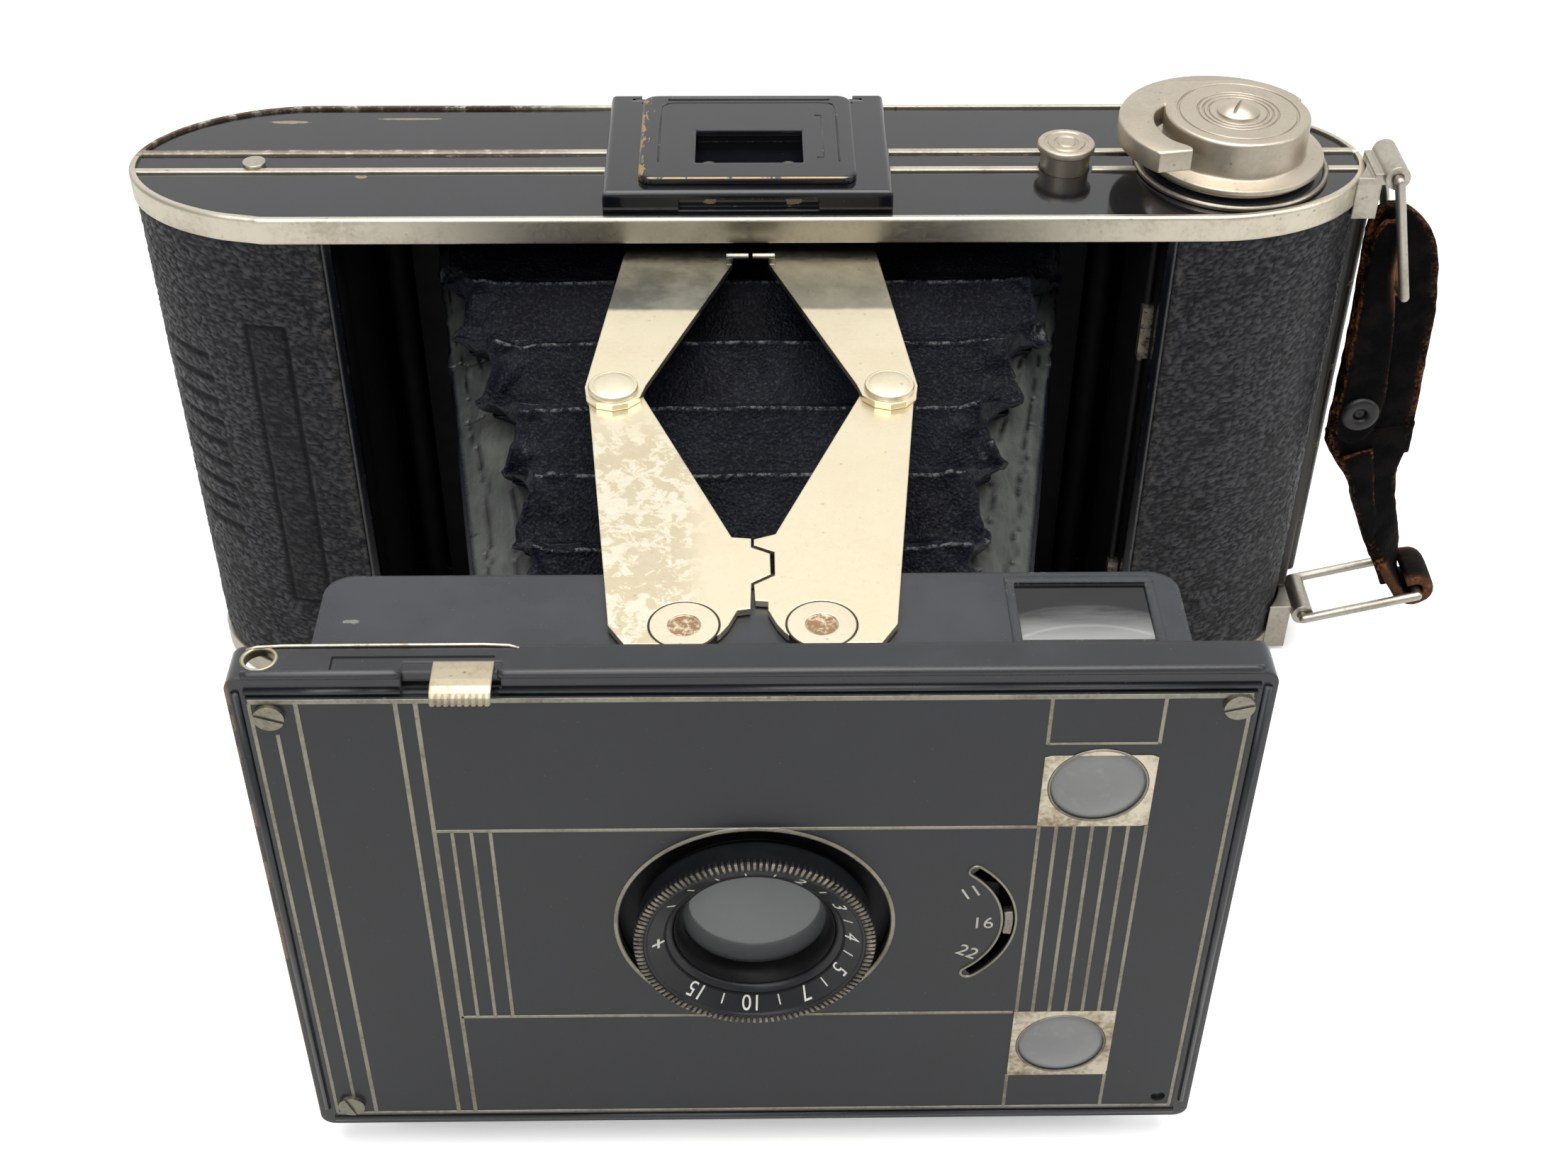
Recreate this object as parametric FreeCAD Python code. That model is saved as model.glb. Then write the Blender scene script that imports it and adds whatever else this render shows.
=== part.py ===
import FreeCAD, Part
import math
import os

# Folding roll-film camera, drawn open, in millimetres.
# X runs along the body, Y from the lens towards the back, Z up; right is +X.
# Y = 0 is close to the body's front face. On export every piece is moved so that
# the origin is the mouth of the tripod bush in the base.
V = FreeCAD.Vector
os.makedirs("parts", exist_ok=True)

# ---------------------------------------------------------------- shared dimensions
BODY_H = 82.0            # overall height, base to rim
MID_Z = BODY_H / 2.0
STRAIGHT = 60.0          # half length of the straight part of the outline
END_HALF_X = 22.5        # half axes of the rounded ends
END_HALF_Y = 16.0
END_MID_Y = 15.5         # middle of the body's depth
END_EXPONENT = 1.9       # roundness of the ends
RIM_H = 3.5              # height of the plated rims
RIM_T = 0.9              # thickness of the plated rims
RIM_Z = BODY_H - RIM_H   # lower edge of the top rim
SKIN = 0.5               # depth of the covering below the rim face
WALL = 1.1               # sheet thickness of the casings
SEAM_Y = 17.2            # parting between body and back door
MOUTH_X = 54.2           # half width of the front opening

BUSH_X, BUSH_Y = 0.0, 6.5      # tripod bush axis
BUSH_R = 5.5                   # outside of the bush
BUSH_BORE = 4.76               # wall radius of the tripod thread
BUSH_L = 3.4
BUTTON_X, BUTTON_Y = 41.9, 13.85
BUTTON_HOLE_R = 3.35
RIVET_X, RIVET_Y = -65.8, 14.5
SPOOL_X, SPOOL_Y = 64.2, 14.3  # right spool and winding knob; left spool at -SPOOL_X
PIN_R, PIN_HOLE_R = 2.5, 2.55  # spool pins and knob stem, and their holes
ROLLER_X, ROLLER_Y = 50.2, 22.7
WINDOW_X = -22.0               # round window in the back door

PIVOT_X = 7.07           # half spacing of the stay pivots
PIVOT_REAR_Y = 10.1
PIVOT_FRONT_Y = -72.9

LENS_Z = 40.95           # height of the lens axis
STOP_X, STOP_R = 17.4, 10.55   # pivot of the stop sector, radius of its tab
BLADE_X, BLADE_Z = -15.0, LENS_Z - 6.0  # pivot of the shutter blade

LOW, HIGH = -5, 95       # Z range of cutters that pass right through


# ---------------------------------------------------------------- helpers
def box(x0, x1, y0, y1, z0=LOW, z1=HIGH):
    return Part.makeBox(x1 - x0, y1 - y0, z1 - z0, V(x0, y0, z0))


def cyl_x(y, z, x0, x1, radius):
    return Part.makeCylinder(radius, x1 - x0, V(x0, y, z), V(1, 0, 0))


def cyl_y(x, z, y0, y1, radius):
    return Part.makeCylinder(radius, y1 - y0, V(x, y0, z), V(0, 1, 0))


def cyl_z(x, y, z0, z1, radius):
    return Part.makeCylinder(radius, z1 - z0, V(x, y, z0), V(0, 0, 1))


def hole_z(x, y, radius):
    """Cutter through the whole height."""
    return cyl_z(x, y, LOW, HIGH, radius)


def hole_y(x, z, radius):
    """Cutter through the whole depth of the front standard."""
    return cyl_y(x, z, -95, -60, radius)


def spool_cyl(z0, z1, radius, side=1):
    """Cylinder on a spool axis; side is 1 for right, -1 for left."""
    return cyl_z(side * SPOOL_X, SPOOL_Y, z0, z1, radius)


def lens_cyl(y0, y1, radius):
    return cyl_y(0, LENS_Z, y0, y1, radius)


def extrude(corners, direction):
    return Part.Face(Part.makePolygon(corners + [corners[0]])).extrude(direction)


def prism_x(points, x0, x1):
    return extrude([V(x0, y, z) for y, z in points], V(x1 - x0, 0, 0))


def prism_y(points, y0, y1):
    return extrude([V(x, y0, z) for x, z in points], V(0, y1 - y0, 0))


def prism_z(points, z0, z1):
    return extrude([V(x, y, z0) for x, y in points], V(0, 0, z1 - z0))


def fuse(first, *others):
    for other in others:
        first = first.fuse(other)
    return first.removeSplitter()


def cut(shape, *cutters):
    for cutter in cutters:
        shape = shape.cut(cutter)
    return shape


def mirror_x(shape):
    return shape.mirror(V(0, 0, 0), V(1, 0, 0))


def mirror_z(shape):
    return shape.mirror(V(0, 0, MID_Z), V(0, 0, 1))


def four_corners(shape):
    """A shape and its copies right, below, and below right."""
    right = mirror_x(shape)
    return [shape, right, mirror_z(shape), mirror_z(right)]


def edges_at(shape, z):
    """Edges that lie flat at height z."""
    return [
        e for e in shape.Edges
        if abs(e.BoundBox.ZMin - z) < 1e-6 and abs(e.BoundBox.ZMax - z) < 1e-6
    ]


def polar(x, z, radius, degrees):
    """Point at a radius and angle about (x, z)."""
    angle = math.radians(degrees)
    return (x + radius * math.cos(angle), z + radius * math.sin(angle))


def write_node(name, shapes):
    """Write one STEP file from a shape or a list of shapes."""
    if isinstance(shapes, Part.Shape):
        shapes = [shapes]
    solids = [solid for shape in shapes for solid in shape.Solids]
    for solid in solids:
        if not solid.isValid() or solid.Volume <= 0:
            raise ValueError("bad solid in " + name)
    node = Part.makeCompound(solids) if len(solids) > 1 else solids[0]
    node = node.copy()
    node.translate(V(0, -BUSH_Y, 0))
    node.exportStep("parts/" + name + ".step")


# ---------------------------------------------------------------- body outline
def end_points(side, inset, z, steps=18):
    """Points round one end, front to back."""
    points = []
    for i in range(steps + 1):
        t = -math.pi / 2 + math.pi * i / steps
        c, s = math.cos(t), math.sin(t)
        x = (END_HALF_X - inset) * abs(c) ** (2.0 / END_EXPONENT)
        y = (END_HALF_Y - inset) * math.copysign(abs(s) ** (2.0 / END_EXPONENT), s)
        points.append(V(side * (STRAIGHT + x), END_MID_Y + y, z))
    return points


def outline_solid(inset, z0=LOW, z1=HIGH):
    """Body outline seen from above, moved inwards by inset and extruded."""
    right_points = end_points(1, inset, z0)
    left_points = end_points(-1, inset, z0)[::-1]
    right, left = Part.BSplineCurve(), Part.BSplineCurve()
    right.interpolate(right_points, InitialTangent=V(1, 0, 0), FinalTangent=V(-1, 0, 0))
    left.interpolate(left_points, InitialTangent=V(-1, 0, 0), FinalTangent=V(1, 0, 0))
    front = Part.makeLine(left_points[-1], right_points[0])
    back = Part.makeLine(right_points[-1], left_points[0])
    wire = Part.Wire([front, right.toShape(), back, left.toShape()])
    return Part.Face(wire).extrude(V(0, 0, z1 - z0))


FRONT_HALF = box(-100, 100, -5, SEAM_Y - 0.1)
BACK_HALF = box(-100, 100, SEAM_Y + 0.1, 60)


def casing():
    outer = outline_solid(RIM_T, 0.4, BODY_H - 0.4)
    return outer.cut(outline_solid(RIM_T + WALL, 1.5, BODY_H - 1.5))


def skin(x0, x1, y0, y1):
    """Covering between the rims, kept within a range of X and Y."""
    sheet = outline_solid(SKIN, RIM_H + 0.05, RIM_Z - 0.05).cut(outline_solid(RIM_T))
    return sheet.common(box(x0, x1, y0, y1))


def rims(half, on_long_side, end_x):
    """Top and bottom rims of one half, the outer edge rounded."""
    rim = outline_solid(0, RIM_Z, BODY_H).cut(outline_solid(RIM_T))
    top = rim.common(half)
    edges = [
        e for e in edges_at(top, BODY_H)
        if on_long_side(e.BoundBox)
        or abs(e.BoundBox.XMax) > end_x
        or abs(e.BoundBox.XMin) > end_x
    ]
    # The fillet can fail on the spline ends; the rim then keeps its sharp edge.
    try:
        rounded = top.makeFillet(0.45, edges)
        if rounded.isValid() and rounded.Volume > 0:
            top = rounded
    except Exception:
        pass
    return [top, mirror_z(top)]


def trim_strip(y0):
    """Raised strip 1 mm wide on the top face."""
    strip = outline_solid(RIM_T + 0.02, BODY_H - 0.4, BODY_H - 0.05)
    return strip.common(box(-90, 90, y0, y0 + 1))


# ---------------------------------------------------------------- body
def body_shell():
    shell = cut(
        casing().common(FRONT_HALF),
        box(-MOUTH_X, MOUTH_X, -2, 1.9, RIM_H, RIM_Z),
        spool_cyl(79, 83, PIN_HOLE_R),
        cyl_z(BUTTON_X, BUTTON_Y, 79, 83, BUTTON_HOLE_R),
        cyl_z(BUSH_X, BUSH_Y, -1, 3.7, BUSH_R + 0.05),
        cyl_z(RIVET_X, RIVET_Y, 79, 83, 0.82),
    )
    lip = [  # X outwards from the mouth edge, Y
        (0, 0.5), (1.15, 0.5), (1.15, -0.1), (0.85, -0.2), (0, 0.25),
    ]
    bezel = prism_z([(MOUTH_X + x, y) for x, y in lip], RIM_H + 0.02, RIM_Z - 0.02)
    return fuse(shell, bezel, mirror_x(bezel))


def front_leatherettes():
    inner_x, back_y = MOUTH_X + 1.2, SEAM_Y - 0.1
    left = skin(-90, -inner_x, -5, back_y)
    right = skin(inner_x, 90, -5, back_y)
    return [
        left.cut(box(-90, -70, SEAM_Y - 0.5, SEAM_Y)),
        right.cut(box(80, 90, 13.4, 20)),  # room for the hinge leaf
    ]


def body_trim():
    strip = trim_strip(12.4)
    top = cut(
        strip,
        hole_z(SPOOL_X, SPOOL_Y, 12.95),
        hole_z(BUTTON_X, 13.3, 3.6),
        box(-19.0, 18.4, 0, 30),  # room for the finder block
        hole_z(RIVET_X, RIVET_Y, 1.55),
    )
    bottom = mirror_z(strip).cut(hole_z(BUSH_X, BUSH_Y, BUSH_R + 0.1))
    return rims(FRONT_HALF, lambda bounds: bounds.YMin < -0.4, 82.3) + [top, bottom]


def door_trim():
    strip = trim_strip(SEAM_Y + 0.15)
    edge_rims = rims(BACK_HALF, lambda bounds: bounds.YMax > 31.4, 82.2)
    return edge_rims + [strip, mirror_z(strip)]


WELL_R, WELL_T = 11.6, 0.6   # inner radius and wall of the spool wells
FRAME_Z0 = 1.7
FRAME_Z1 = BODY_H - FRAME_Z0
FRAME_Y0 = 1.65
GATE_X, GATE_Z = 44.0, 28.0  # half sizes of the picture gate


def right_well():
    """Right spool well with the mouth jamb."""
    bore = hole_z(SPOOL_X, SPOOL_Y, WELL_R)
    ring = cut(
        spool_cyl(FRAME_Z0, FRAME_Z1, WELL_R + WELL_T),
        bore,
        box(SPOOL_X - 6.0, 90, -5, 40),
        box(0, 90, 20.6, 40),
        box(0, 90, -5, 5.2),
    )
    jamb = box(MOUTH_X + 0.02, MOUTH_X + 0.8, FRAME_Y0, 8.4, FRAME_Z0, FRAME_Z1)
    return fuse(ring, jamb.cut(bore))


def inner_frame():
    """Mouth walls, spool wells and picture gate in one pressing."""
    ceiling = cut(
        box(-MOUTH_X - 0.3, MOUTH_X + 0.3, FRAME_Y0, 24.4, RIM_Z, RIM_Z + 0.9),
        hole_z(SPOOL_X, SPOOL_Y, WELL_R),
        hole_z(-SPOOL_X, SPOOL_Y, WELL_R),
    )
    gate = cut(
        box(-47.9, 47.9, 22.7, 23.9, FRAME_Z0, FRAME_Z1),
        box(-GATE_X, GATE_X, 20, 26, MID_Z - GATE_Z, MID_Z + GATE_Z),
    )
    well = right_well()
    frame = fuse(ceiling, mirror_z(ceiling), gate, well, mirror_x(well))
    for x, y, radius in ((ROLLER_X, ROLLER_Y, 0.78), (PIVOT_X, PIVOT_REAR_Y, 1.6)):
        frame = cut(frame, hole_z(x, y, radius), hole_z(-x, y, radius))
    return cut(
        frame,
        cyl_z(BUSH_X, BUSH_Y, 0, 6, BUSH_R + 0.05),
        cyl_z(BUTTON_X, BUTTON_Y, 70, 90, BUTTON_HOLE_R),
    )


def catch_rod():
    """Upright rod on the right mouth wall with its two clips."""
    clips = [box(52.75, MOUTH_X + 0.02, 3.3, 4.7, z, z + 8.0) for z in (58.0, 14.0)]
    return fuse(cyl_z(53.3, 4.0, 6.0, 76.0, 0.45), *clips)


def guide_roller(side):
    x = side * ROLLER_X
    return fuse(
        cyl_z(x, ROLLER_Y, 4.2, BODY_H - 4.2, 1.5),
        cyl_z(x, ROLLER_Y, 2.4, BODY_H - 2.4, 0.72),
    )


def spool(side):
    x, y = side * SPOOL_X, SPOOL_Y
    flange_r, core_r = 11.0, 4.4
    flange_z0, flange_z1 = 8.2, 9.0
    body = fuse(
        spool_cyl(flange_z0, flange_z1, flange_r, side),
        spool_cyl(BODY_H - flange_z1, BODY_H - flange_z0, flange_r, side),
        spool_cyl(flange_z1, BODY_H - flange_z1, core_r, side),
    )
    return cut(
        body,
        spool_cyl(8, 20, PIN_HOLE_R, side),
        spool_cyl(62, 74, PIN_HOLE_R, side),
        box(x - 0.7, x + 0.7, y - 3.6, y + 3.6, 70.9, 74),  # slot for the knob's key
        box(x - 0.45, x + 0.45, y - 6, y + 6, 30, 52),      # slot through the core
    )


def spool_pins():
    collar_r, end_z = 3.6, 1.5
    top_z = BODY_H - end_z
    lower = [
        fuse(spool_cyl(end_z, 11.5, PIN_R, side), spool_cyl(end_z, 7.6, collar_r, side))
        for side in (1, -1)
    ]
    upper = fuse(spool_cyl(68.5, top_z, PIN_R, -1), spool_cyl(74.3, top_z, collar_r, -1))
    return lower + [upper]


def tripod_bush():
    return cyl_z(BUSH_X, BUSH_Y, 0.0, BUSH_L, BUSH_R).cut(hole_z(BUSH_X, BUSH_Y, BUSH_BORE))


# ---------------------------------------------------------------- top furniture
BASE_R = 12.2
KNOB_TOP = BODY_H + 7.4

# Winding wing about the knob axis: the sweep as (degrees, radius), then (X, Y).
WING_SWEEP = [
    (23, 10.0), (40, 10.05), (60, 10.2), (90, 10.75), (115, 11.9),
    (140, 13.4), (165, 14.9), (190, 16.1), (207, 16.45), (223, 16.4),
]
WING_RETURN = [
    (-7.9, -10.8), (-7.1, -9.5), (-8.3, -8.7), (-9.9, -7.6), (-11.2, -5.0), (-11.5, -2.2),
    (-10.9, 0.6), (-9.6, 2.0), (-6.0, 5.0), (0, 6), (7, 3),
]


def knob_base():
    disc = fuse(
        spool_cyl(BODY_H + 0.1, BODY_H + 0.6, BASE_R),
        spool_cyl(BODY_H - 0.4, BODY_H + 0.6, BASE_R).common(box(0, 90, -5, 12.3)),
    )
    ring = spool_cyl(BODY_H + 0.1, BODY_H + 0.75, 12.9)
    return [
        disc.cut(hole_z(SPOOL_X, SPOOL_Y, PIN_HOLE_R)),
        ring.cut(hole_z(SPOOL_X, SPOOL_Y, BASE_R + 0.01)),
    ]


def winding_knob():
    outline = [polar(0, 0, radius, degrees) for degrees, radius in WING_SWEEP] + WING_RETURN
    outline = [(SPOOL_X + x, SPOOL_Y + y) for x, y in outline]
    wing = prism_z(outline, KNOB_TOP - 3.1, KNOB_TOP - 0.15)
    drum = spool_cyl(BODY_H + 2.3, KNOB_TOP, 9.5)
    drum = drum.makeFillet(0.35, [e for e in edges_at(drum, KNOB_TOP) if e.Length > 20])
    knob = fuse(
        drum,
        wing,
        spool_cyl(BODY_H + 1.55, BODY_H + 2.4, 12.0),
        spool_cyl(BODY_H + 0.95, BODY_H + 1.6, 11.4),
        spool_cyl(73.85, BODY_H + 1.2, PIN_R),
    )
    # key across the spool slot, and the thinner end of the stem
    key_r = 3.4
    key = box(SPOOL_X - 0.55, SPOOL_X + 0.55, SPOOL_Y - key_r, SPOOL_Y + key_r, 71.2, 73.4)
    knob = fuse(knob, key.common(spool_cyl(60, 80, key_r)), spool_cyl(70.9, 74.0, 2.4))
    for inner, outer in ((7.65, 7.95), (5.15, 5.4), (4.45, 4.7), (3.75, 4.0)):
        groove = spool_cyl(KNOB_TOP - 0.25, KNOB_TOP + 1, outer)
        knob = knob.cut(groove.cut(spool_cyl(KNOB_TOP - 1, KNOB_TOP + 2, inner)))
    return knob.cut(spool_cyl(KNOB_TOP - 4.0, KNOB_TOP + 1, 1.2))


def knob_screw():
    dome = Part.makeSphere(4.6, V(SPOOL_X, SPOOL_Y, KNOB_TOP - 3.45))
    screw = fuse(
        dome.common(spool_cyl(KNOB_TOP, KNOB_TOP + 3, 2.8)),
        spool_cyl(KNOB_TOP - 3.9, KNOB_TOP + 0.1, 1.15),
    )
    slot = box(-3.5, 3.5, -0.22, 0.22, KNOB_TOP + 0.62, KNOB_TOP + 3)
    slot.rotate(V(0, 0, 0), V(0, 0, 1), 62)
    slot.translate(V(SPOOL_X, SPOOL_Y, 0))
    return screw.cut(slot)


def release_button():
    top = 85.3
    button = fuse(
        cyl_z(BUTTON_X, BUTTON_Y, top - 0.95, top, 3.8),
        cyl_z(BUTTON_X, BUTTON_Y, BODY_H - 2.0, top - 0.9, 3.25),
    )
    for inner, outer in ((2.5, 2.9), (1.2, 1.6)):
        groove = cyl_z(BUTTON_X, BUTTON_Y, top - 0.15, BODY_H + 5, outer)
        button = button.cut(groove.cut(hole_z(BUTTON_X, BUTTON_Y, inner)))
    return button


FINDER_TOP = BODY_H + 2.9
FLAP_Y, FLAP_Z = 27.0, FINDER_TOP - 0.5  # axis of the folding frame plate
FLAP_Z0, FLAP_Z1 = FINDER_TOP + 0.1, FINDER_TOP + 0.9
FLAP_HOLE_R = 0.55


def finder_block():
    block = fuse(
        box(-18.9, 18.3, 1.2, 28.1, BODY_H + 0.1, FINDER_TOP),
        box(-18.9, 18.3, 1.2, 16.6, BODY_H - 0.4, BODY_H + 0.5),
    )
    rounded = [e for e in edges_at(block, FINDER_TOP) if e.BoundBox.YMin < 27.0]
    return cut(
        block.makeFillet(0.7, rounded),
        box(-8.4, 8.2, 6.2, 18.5, BODY_H + 0.9, FINDER_TOP + 1),    # top pocket
        box(-9.2, 8.8, 0.0, 2.2, BODY_H + 0.3, BODY_H + 1.9),       # front recess
        box(-14.7, -11.2, 25.7, 29, BODY_H + 1.2, FINDER_TOP + 1),  # ear notches
        box(10.6, 14.1, 25.7, 29, BODY_H + 1.2, FINDER_TOP + 1),
        cyl_x(FLAP_Y, FLAP_Z, -16.0, 15.4, FLAP_HOLE_R),
    )


def finder_frame_plate():
    plate = box(-14.4, 13.7, 3.1, 26.3, FLAP_Z0, FLAP_Z1)
    corners = [e for e in plate.Edges if e.Length < 1.0 and e.BoundBox.YMax < 5]
    plate = plate.makeFillet(2.2, corners)
    plate = plate.cut(box(-7.1, 6.9, 7.2, 16.2))
    plate = plate.cut(box(-11.6, 10.9, 24.2, 24.6, FINDER_TOP + 0.7))
    ears = [
        fuse(cyl_x(FLAP_Y, FLAP_Z, x0, x1, 0.95), box(x0, x1, 25.6, 26.9, FLAP_Z0, FLAP_Z1))
        for x0, x1 in ((-14.35, -11.45), (10.85, 13.65))
    ]
    return fuse(plate, *ears).cut(cyl_x(FLAP_Y, FLAP_Z, -20, 20, FLAP_HOLE_R))


def top_rivets():
    """Rivet at the left end and two in the finder block's pocket."""
    end_rivet = fuse(
        cyl_z(RIVET_X, RIVET_Y, BODY_H - 0.4, BODY_H + 0.35, 1.5),
        cyl_z(RIVET_X, RIVET_Y, BODY_H - 1.4, BODY_H, 0.8),
    )
    return [end_rivet] + [
        cyl_z(x, 8.3, BODY_H + 0.9, BODY_H + 1.5, 1.15) for x in (-5.4, 5.0)
    ]


# ---------------------------------------------------------------- right end
HINGE_X, HINGE_Y = 84.0, SEAM_Y
KNUCKLE_R = 1.15
KNUCKLE_GAP = 0.15
BODY_KNUCKLES = ((10.0, 19.9), (34.1, 47.9), (62.1, 75.8))  # Z ranges
DOOR_KNUCKLES = ((20.1, 33.9), (48.1, 61.9))


def knuckles(ranges, gap=0.0):
    return [cyl_z(HINGE_X, HINGE_Y, z0 - gap, z1 + gap, KNUCKLE_R + gap) for z0, z1 in ranges]


def hinge_leaf(y0, y1, own, other):
    leaf = box(80.2, 83.2, y0, y1, 3.6, BODY_H - 3.6).cut(outline_solid(SKIN))
    leaf = cut(leaf, *knuckles(other, KNUCKLE_GAP))
    return fuse(leaf, *knuckles(own)).cut(hole_z(HINGE_X, HINGE_Y, 0.65))


def hinge_leaf_body():
    leaf = hinge_leaf(13.6, 16.75, BODY_KNUCKLES, DOOR_KNUCKLES)
    leaf = leaf.common(FRONT_HALF.fuse(box(82.6, 90, 0, 30)))
    # room for the strap lug plates
    return cut(leaf, box(78, 83.4, 8, 15.36, 0, 8.7), box(78, 83.4, 8, 15.36, 76.5, 83))


def hinge_leaf_door():
    return hinge_leaf(17.6, 20.6, DOOR_KNUCKLES, BODY_KNUCKLES)


def hinge_pins():
    """Pins of the door hinge and of the finder frame plate."""
    return [
        cyl_z(HINGE_X, HINGE_Y, 9.6, 76.4, 0.6),
        cyl_x(FLAP_Y, FLAP_Z, -15.6, 15.0, 0.5),
    ]


LUG_X = 84.9                        # barrels of the strap lugs
LUG_UPPER_Z, LUG_LOWER_Z = 83.1, 7.9
LUG_CLEAR = -0.02                   # the lugs stand this far outside the outline


def strap_lug(plate_z0, plate_z1, barrel_z, clearance, *bridges):
    plate = box(79.0, 83.3, 8.6, 15.3, plate_z0, plate_z1).cut(outline_solid(LUG_CLEAR))
    lug = fuse(plate, *bridges, cyl_y(LUG_X, barrel_z, 7.5, 15.5, 1.65))
    return cut(lug, cyl_y(LUG_X, barrel_z, 0, 30, 0.78), clearance)


def strap_lugs():
    bridge = box(82.2, 84.6, 8.6, 15.3, 81.6, 83.2)
    under_top = outline_solid(LUG_CLEAR, z1=BODY_H - LUG_CLEAR)
    return [
        strap_lug(76.6, 82.6, LUG_UPPER_Z, under_top, bridge),
        strap_lug(0.6, 8.6, LUG_LOWER_Z, outline_solid(LUG_CLEAR)),
    ]


def wire_loop(z0, x1, z1):
    """Closed rectangular wire: bar through the lug, two legs, outer bar at (x1, z1)."""
    wire_r, y_front, y_back = 0.7, 6.6, 16.35
    width = y_back - y_front
    dx, dz = x1 - LUG_X, z1 - z0
    length = math.hypot(dx, dz)
    along = V(dx / length, 0, dz / length)
    pieces = [
        Part.makeCylinder(wire_r, width, V(LUG_X, y_front, z0), V(0, 1, 0)),
        Part.makeCylinder(wire_r, length, V(LUG_X, y_front, z0), along),
        Part.makeCylinder(wire_r, length, V(LUG_X, y_back, z0), along),
        Part.makeCylinder(wire_r, width, V(x1, y_front, z1), V(0, 1, 0)),
    ]
    for y in (y_front, y_back):
        for x, z in ((LUG_X, z0), (x1, z1)):
            pieces.append(Part.makeSphere(wire_r, V(x, y, z)))
    return fuse(*pieces)


def strap_loop_upper():
    return wire_loop(LUG_UPPER_Z, 88.9, 65.6)


def strap_loop_lower():
    return wire_loop(LUG_LOWER_Z, 101.6, 12.4)


STRAP_OUTLINE = [  # X, Z
    (88.7, 64.2), (91.0, 64.2), (95.6, 60.0), (95.2, 42.0), (94.6, 31.0), (99.0, 21.5),
    (103.0, 15.6), (102.2, 14.0), (99.2, 14.2), (95.0, 20.5), (91.0, 29.0), (88.0, 38.0),
    (88.0, 58.0),
]


def carrying_strap():
    return prism_y(STRAP_OUTLINE, 8.2, 14.8)


# ---------------------------------------------------------------- back door
def back_door():
    return cut(
        casing().common(BACK_HALF),
        cyl_y(WINDOW_X, MID_Z, 28, 34, 5.2),
        *knuckles(BODY_KNUCKLES, KNUCKLE_GAP),
    )


def leatherette_back():
    return cut(
        skin(-90, 90, SEAM_Y + 0.4, 40),
        cyl_y(WINDOW_X, MID_Z, 28, 34, 7.05),
        box(79, 90, 0, 20.7),                 # room for the hinge leaf
        box(-90, -79, 0, 23.2, 33.0, 53.0),   # room for the latch
    )


def window_bezel():
    bezel = fuse(
        cyl_y(WINDOW_X, MID_Z, 30.6, 31.35, 7.0),
        cyl_y(WINDOW_X, MID_Z, 29.6, 31.0, 5.15),
    )
    return bezel.cut(cyl_y(WINDOW_X, MID_Z, 20, 40, 4.3))


def red_window():
    return cyl_y(WINDOW_X, MID_Z, 28.5, 29.45, 5.6)


def door_latch():
    latch = box(-82.45, -79.5, 17.6, 22.6, 34.0, 48.0).cut(outline_solid(SKIN + 0.02))
    for k in range(5):
        z = 38.0 + 2.5 * k
        latch = latch.cut(box(-84, -82.15, 17, 24, z - 0.35, z + 0.35))
    return latch


def pressure_plate():
    notch = 4.5  # half size of the opening at the window
    return cut(
        box(-46.5, 46.5, 24.7, 25.5, MID_Z - 31, MID_Z + 31),
        box(WINDOW_X - notch, WINDOW_X + notch, 20, 30, MID_Z - notch, MID_Z + notch),
    )


def leaf_spring(z):
    """Bowed leaf: two feet on the door, crown on the plate."""
    half_span, bow, thickness, half_width, steps = 34, 3.5, 0.4, 3, 20
    lower = []
    for i in range(steps + 1):
        x = -half_span + 2 * half_span * i / steps
        lower.append((x, 25.52 + bow * (abs(x) / half_span) ** 2))
    upper = [(x, y + thickness) for x, y in reversed(lower)]
    return prism_z(lower + upper, z - half_width, z + half_width)


def pressure_springs():
    return [leaf_spring(MID_Z - 19), leaf_spring(MID_Z + 19)]


# ---------------------------------------------------------------- stays
ELBOW_X, ELBOW_Y = 16.24, -31.4
FRONT_STAY_Z0, FRONT_STAY_Z1 = 75.4, 76.2
REAR_STAY_Z0, REAR_STAY_Z1 = 76.25, 77.05
BOX_Z1 = 75.2            # top of the box behind the standard frame

REAR_STAY_LEFT = [  # X, Y
    (-2.3, -3.04), (-12.45, -30.67), (-13.0, -32.9), (-14.4, -34.3), (-16.24, -34.85),
    (-18.1, -34.3), (-19.35, -32.8), (-19.6, -31.0), (-16.35, -1.43), (-14.2, 9.0),
    (-11.0, 13.2), (-7.07, 14.4), (-4.0, 13.2), (-2.35, 10.2),
]
# Front stays: distance out from the middle plane, Y. Both sides share the outer
# and inner edges; between them the left stay has a tooth and the right a notch
# and hook that cross or meet the middle plane.
FRONT_STAY_OUTER = [
    (19.5, -31.4), (19.06, -32.8), (14.97, -71.63), (14.85, -72.9), (13.12, -75.77),
    (5.92, -75.86), (4.4, -75.2), (3.3, -74.2), (2.5, -72.9), (1.6, -70.6),
]
TOOTH_LEFT = [
    (0.25, -70.35), (0.15, -66.2), (-1.9, -64.75), (-1.85, -61.35), (0.15, -60.25),
    (0.15, -58.75), (2.26, -58.5),
]
NOTCH_RIGHT = [
    (1.6, -69.2), (0.25, -69.05), (0.15, -66.5), (2.35, -65.0), (2.35, -61.0),
    (0.15, -59.85), (0.15, -58.9), (2.5, -58.0),
]
FRONT_STAY_INNER = [
    (12.7, -32.0), (12.9, -30.4), (14.0, -28.9), (16.24, -28.0), (18.4, -28.8),
]


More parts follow.
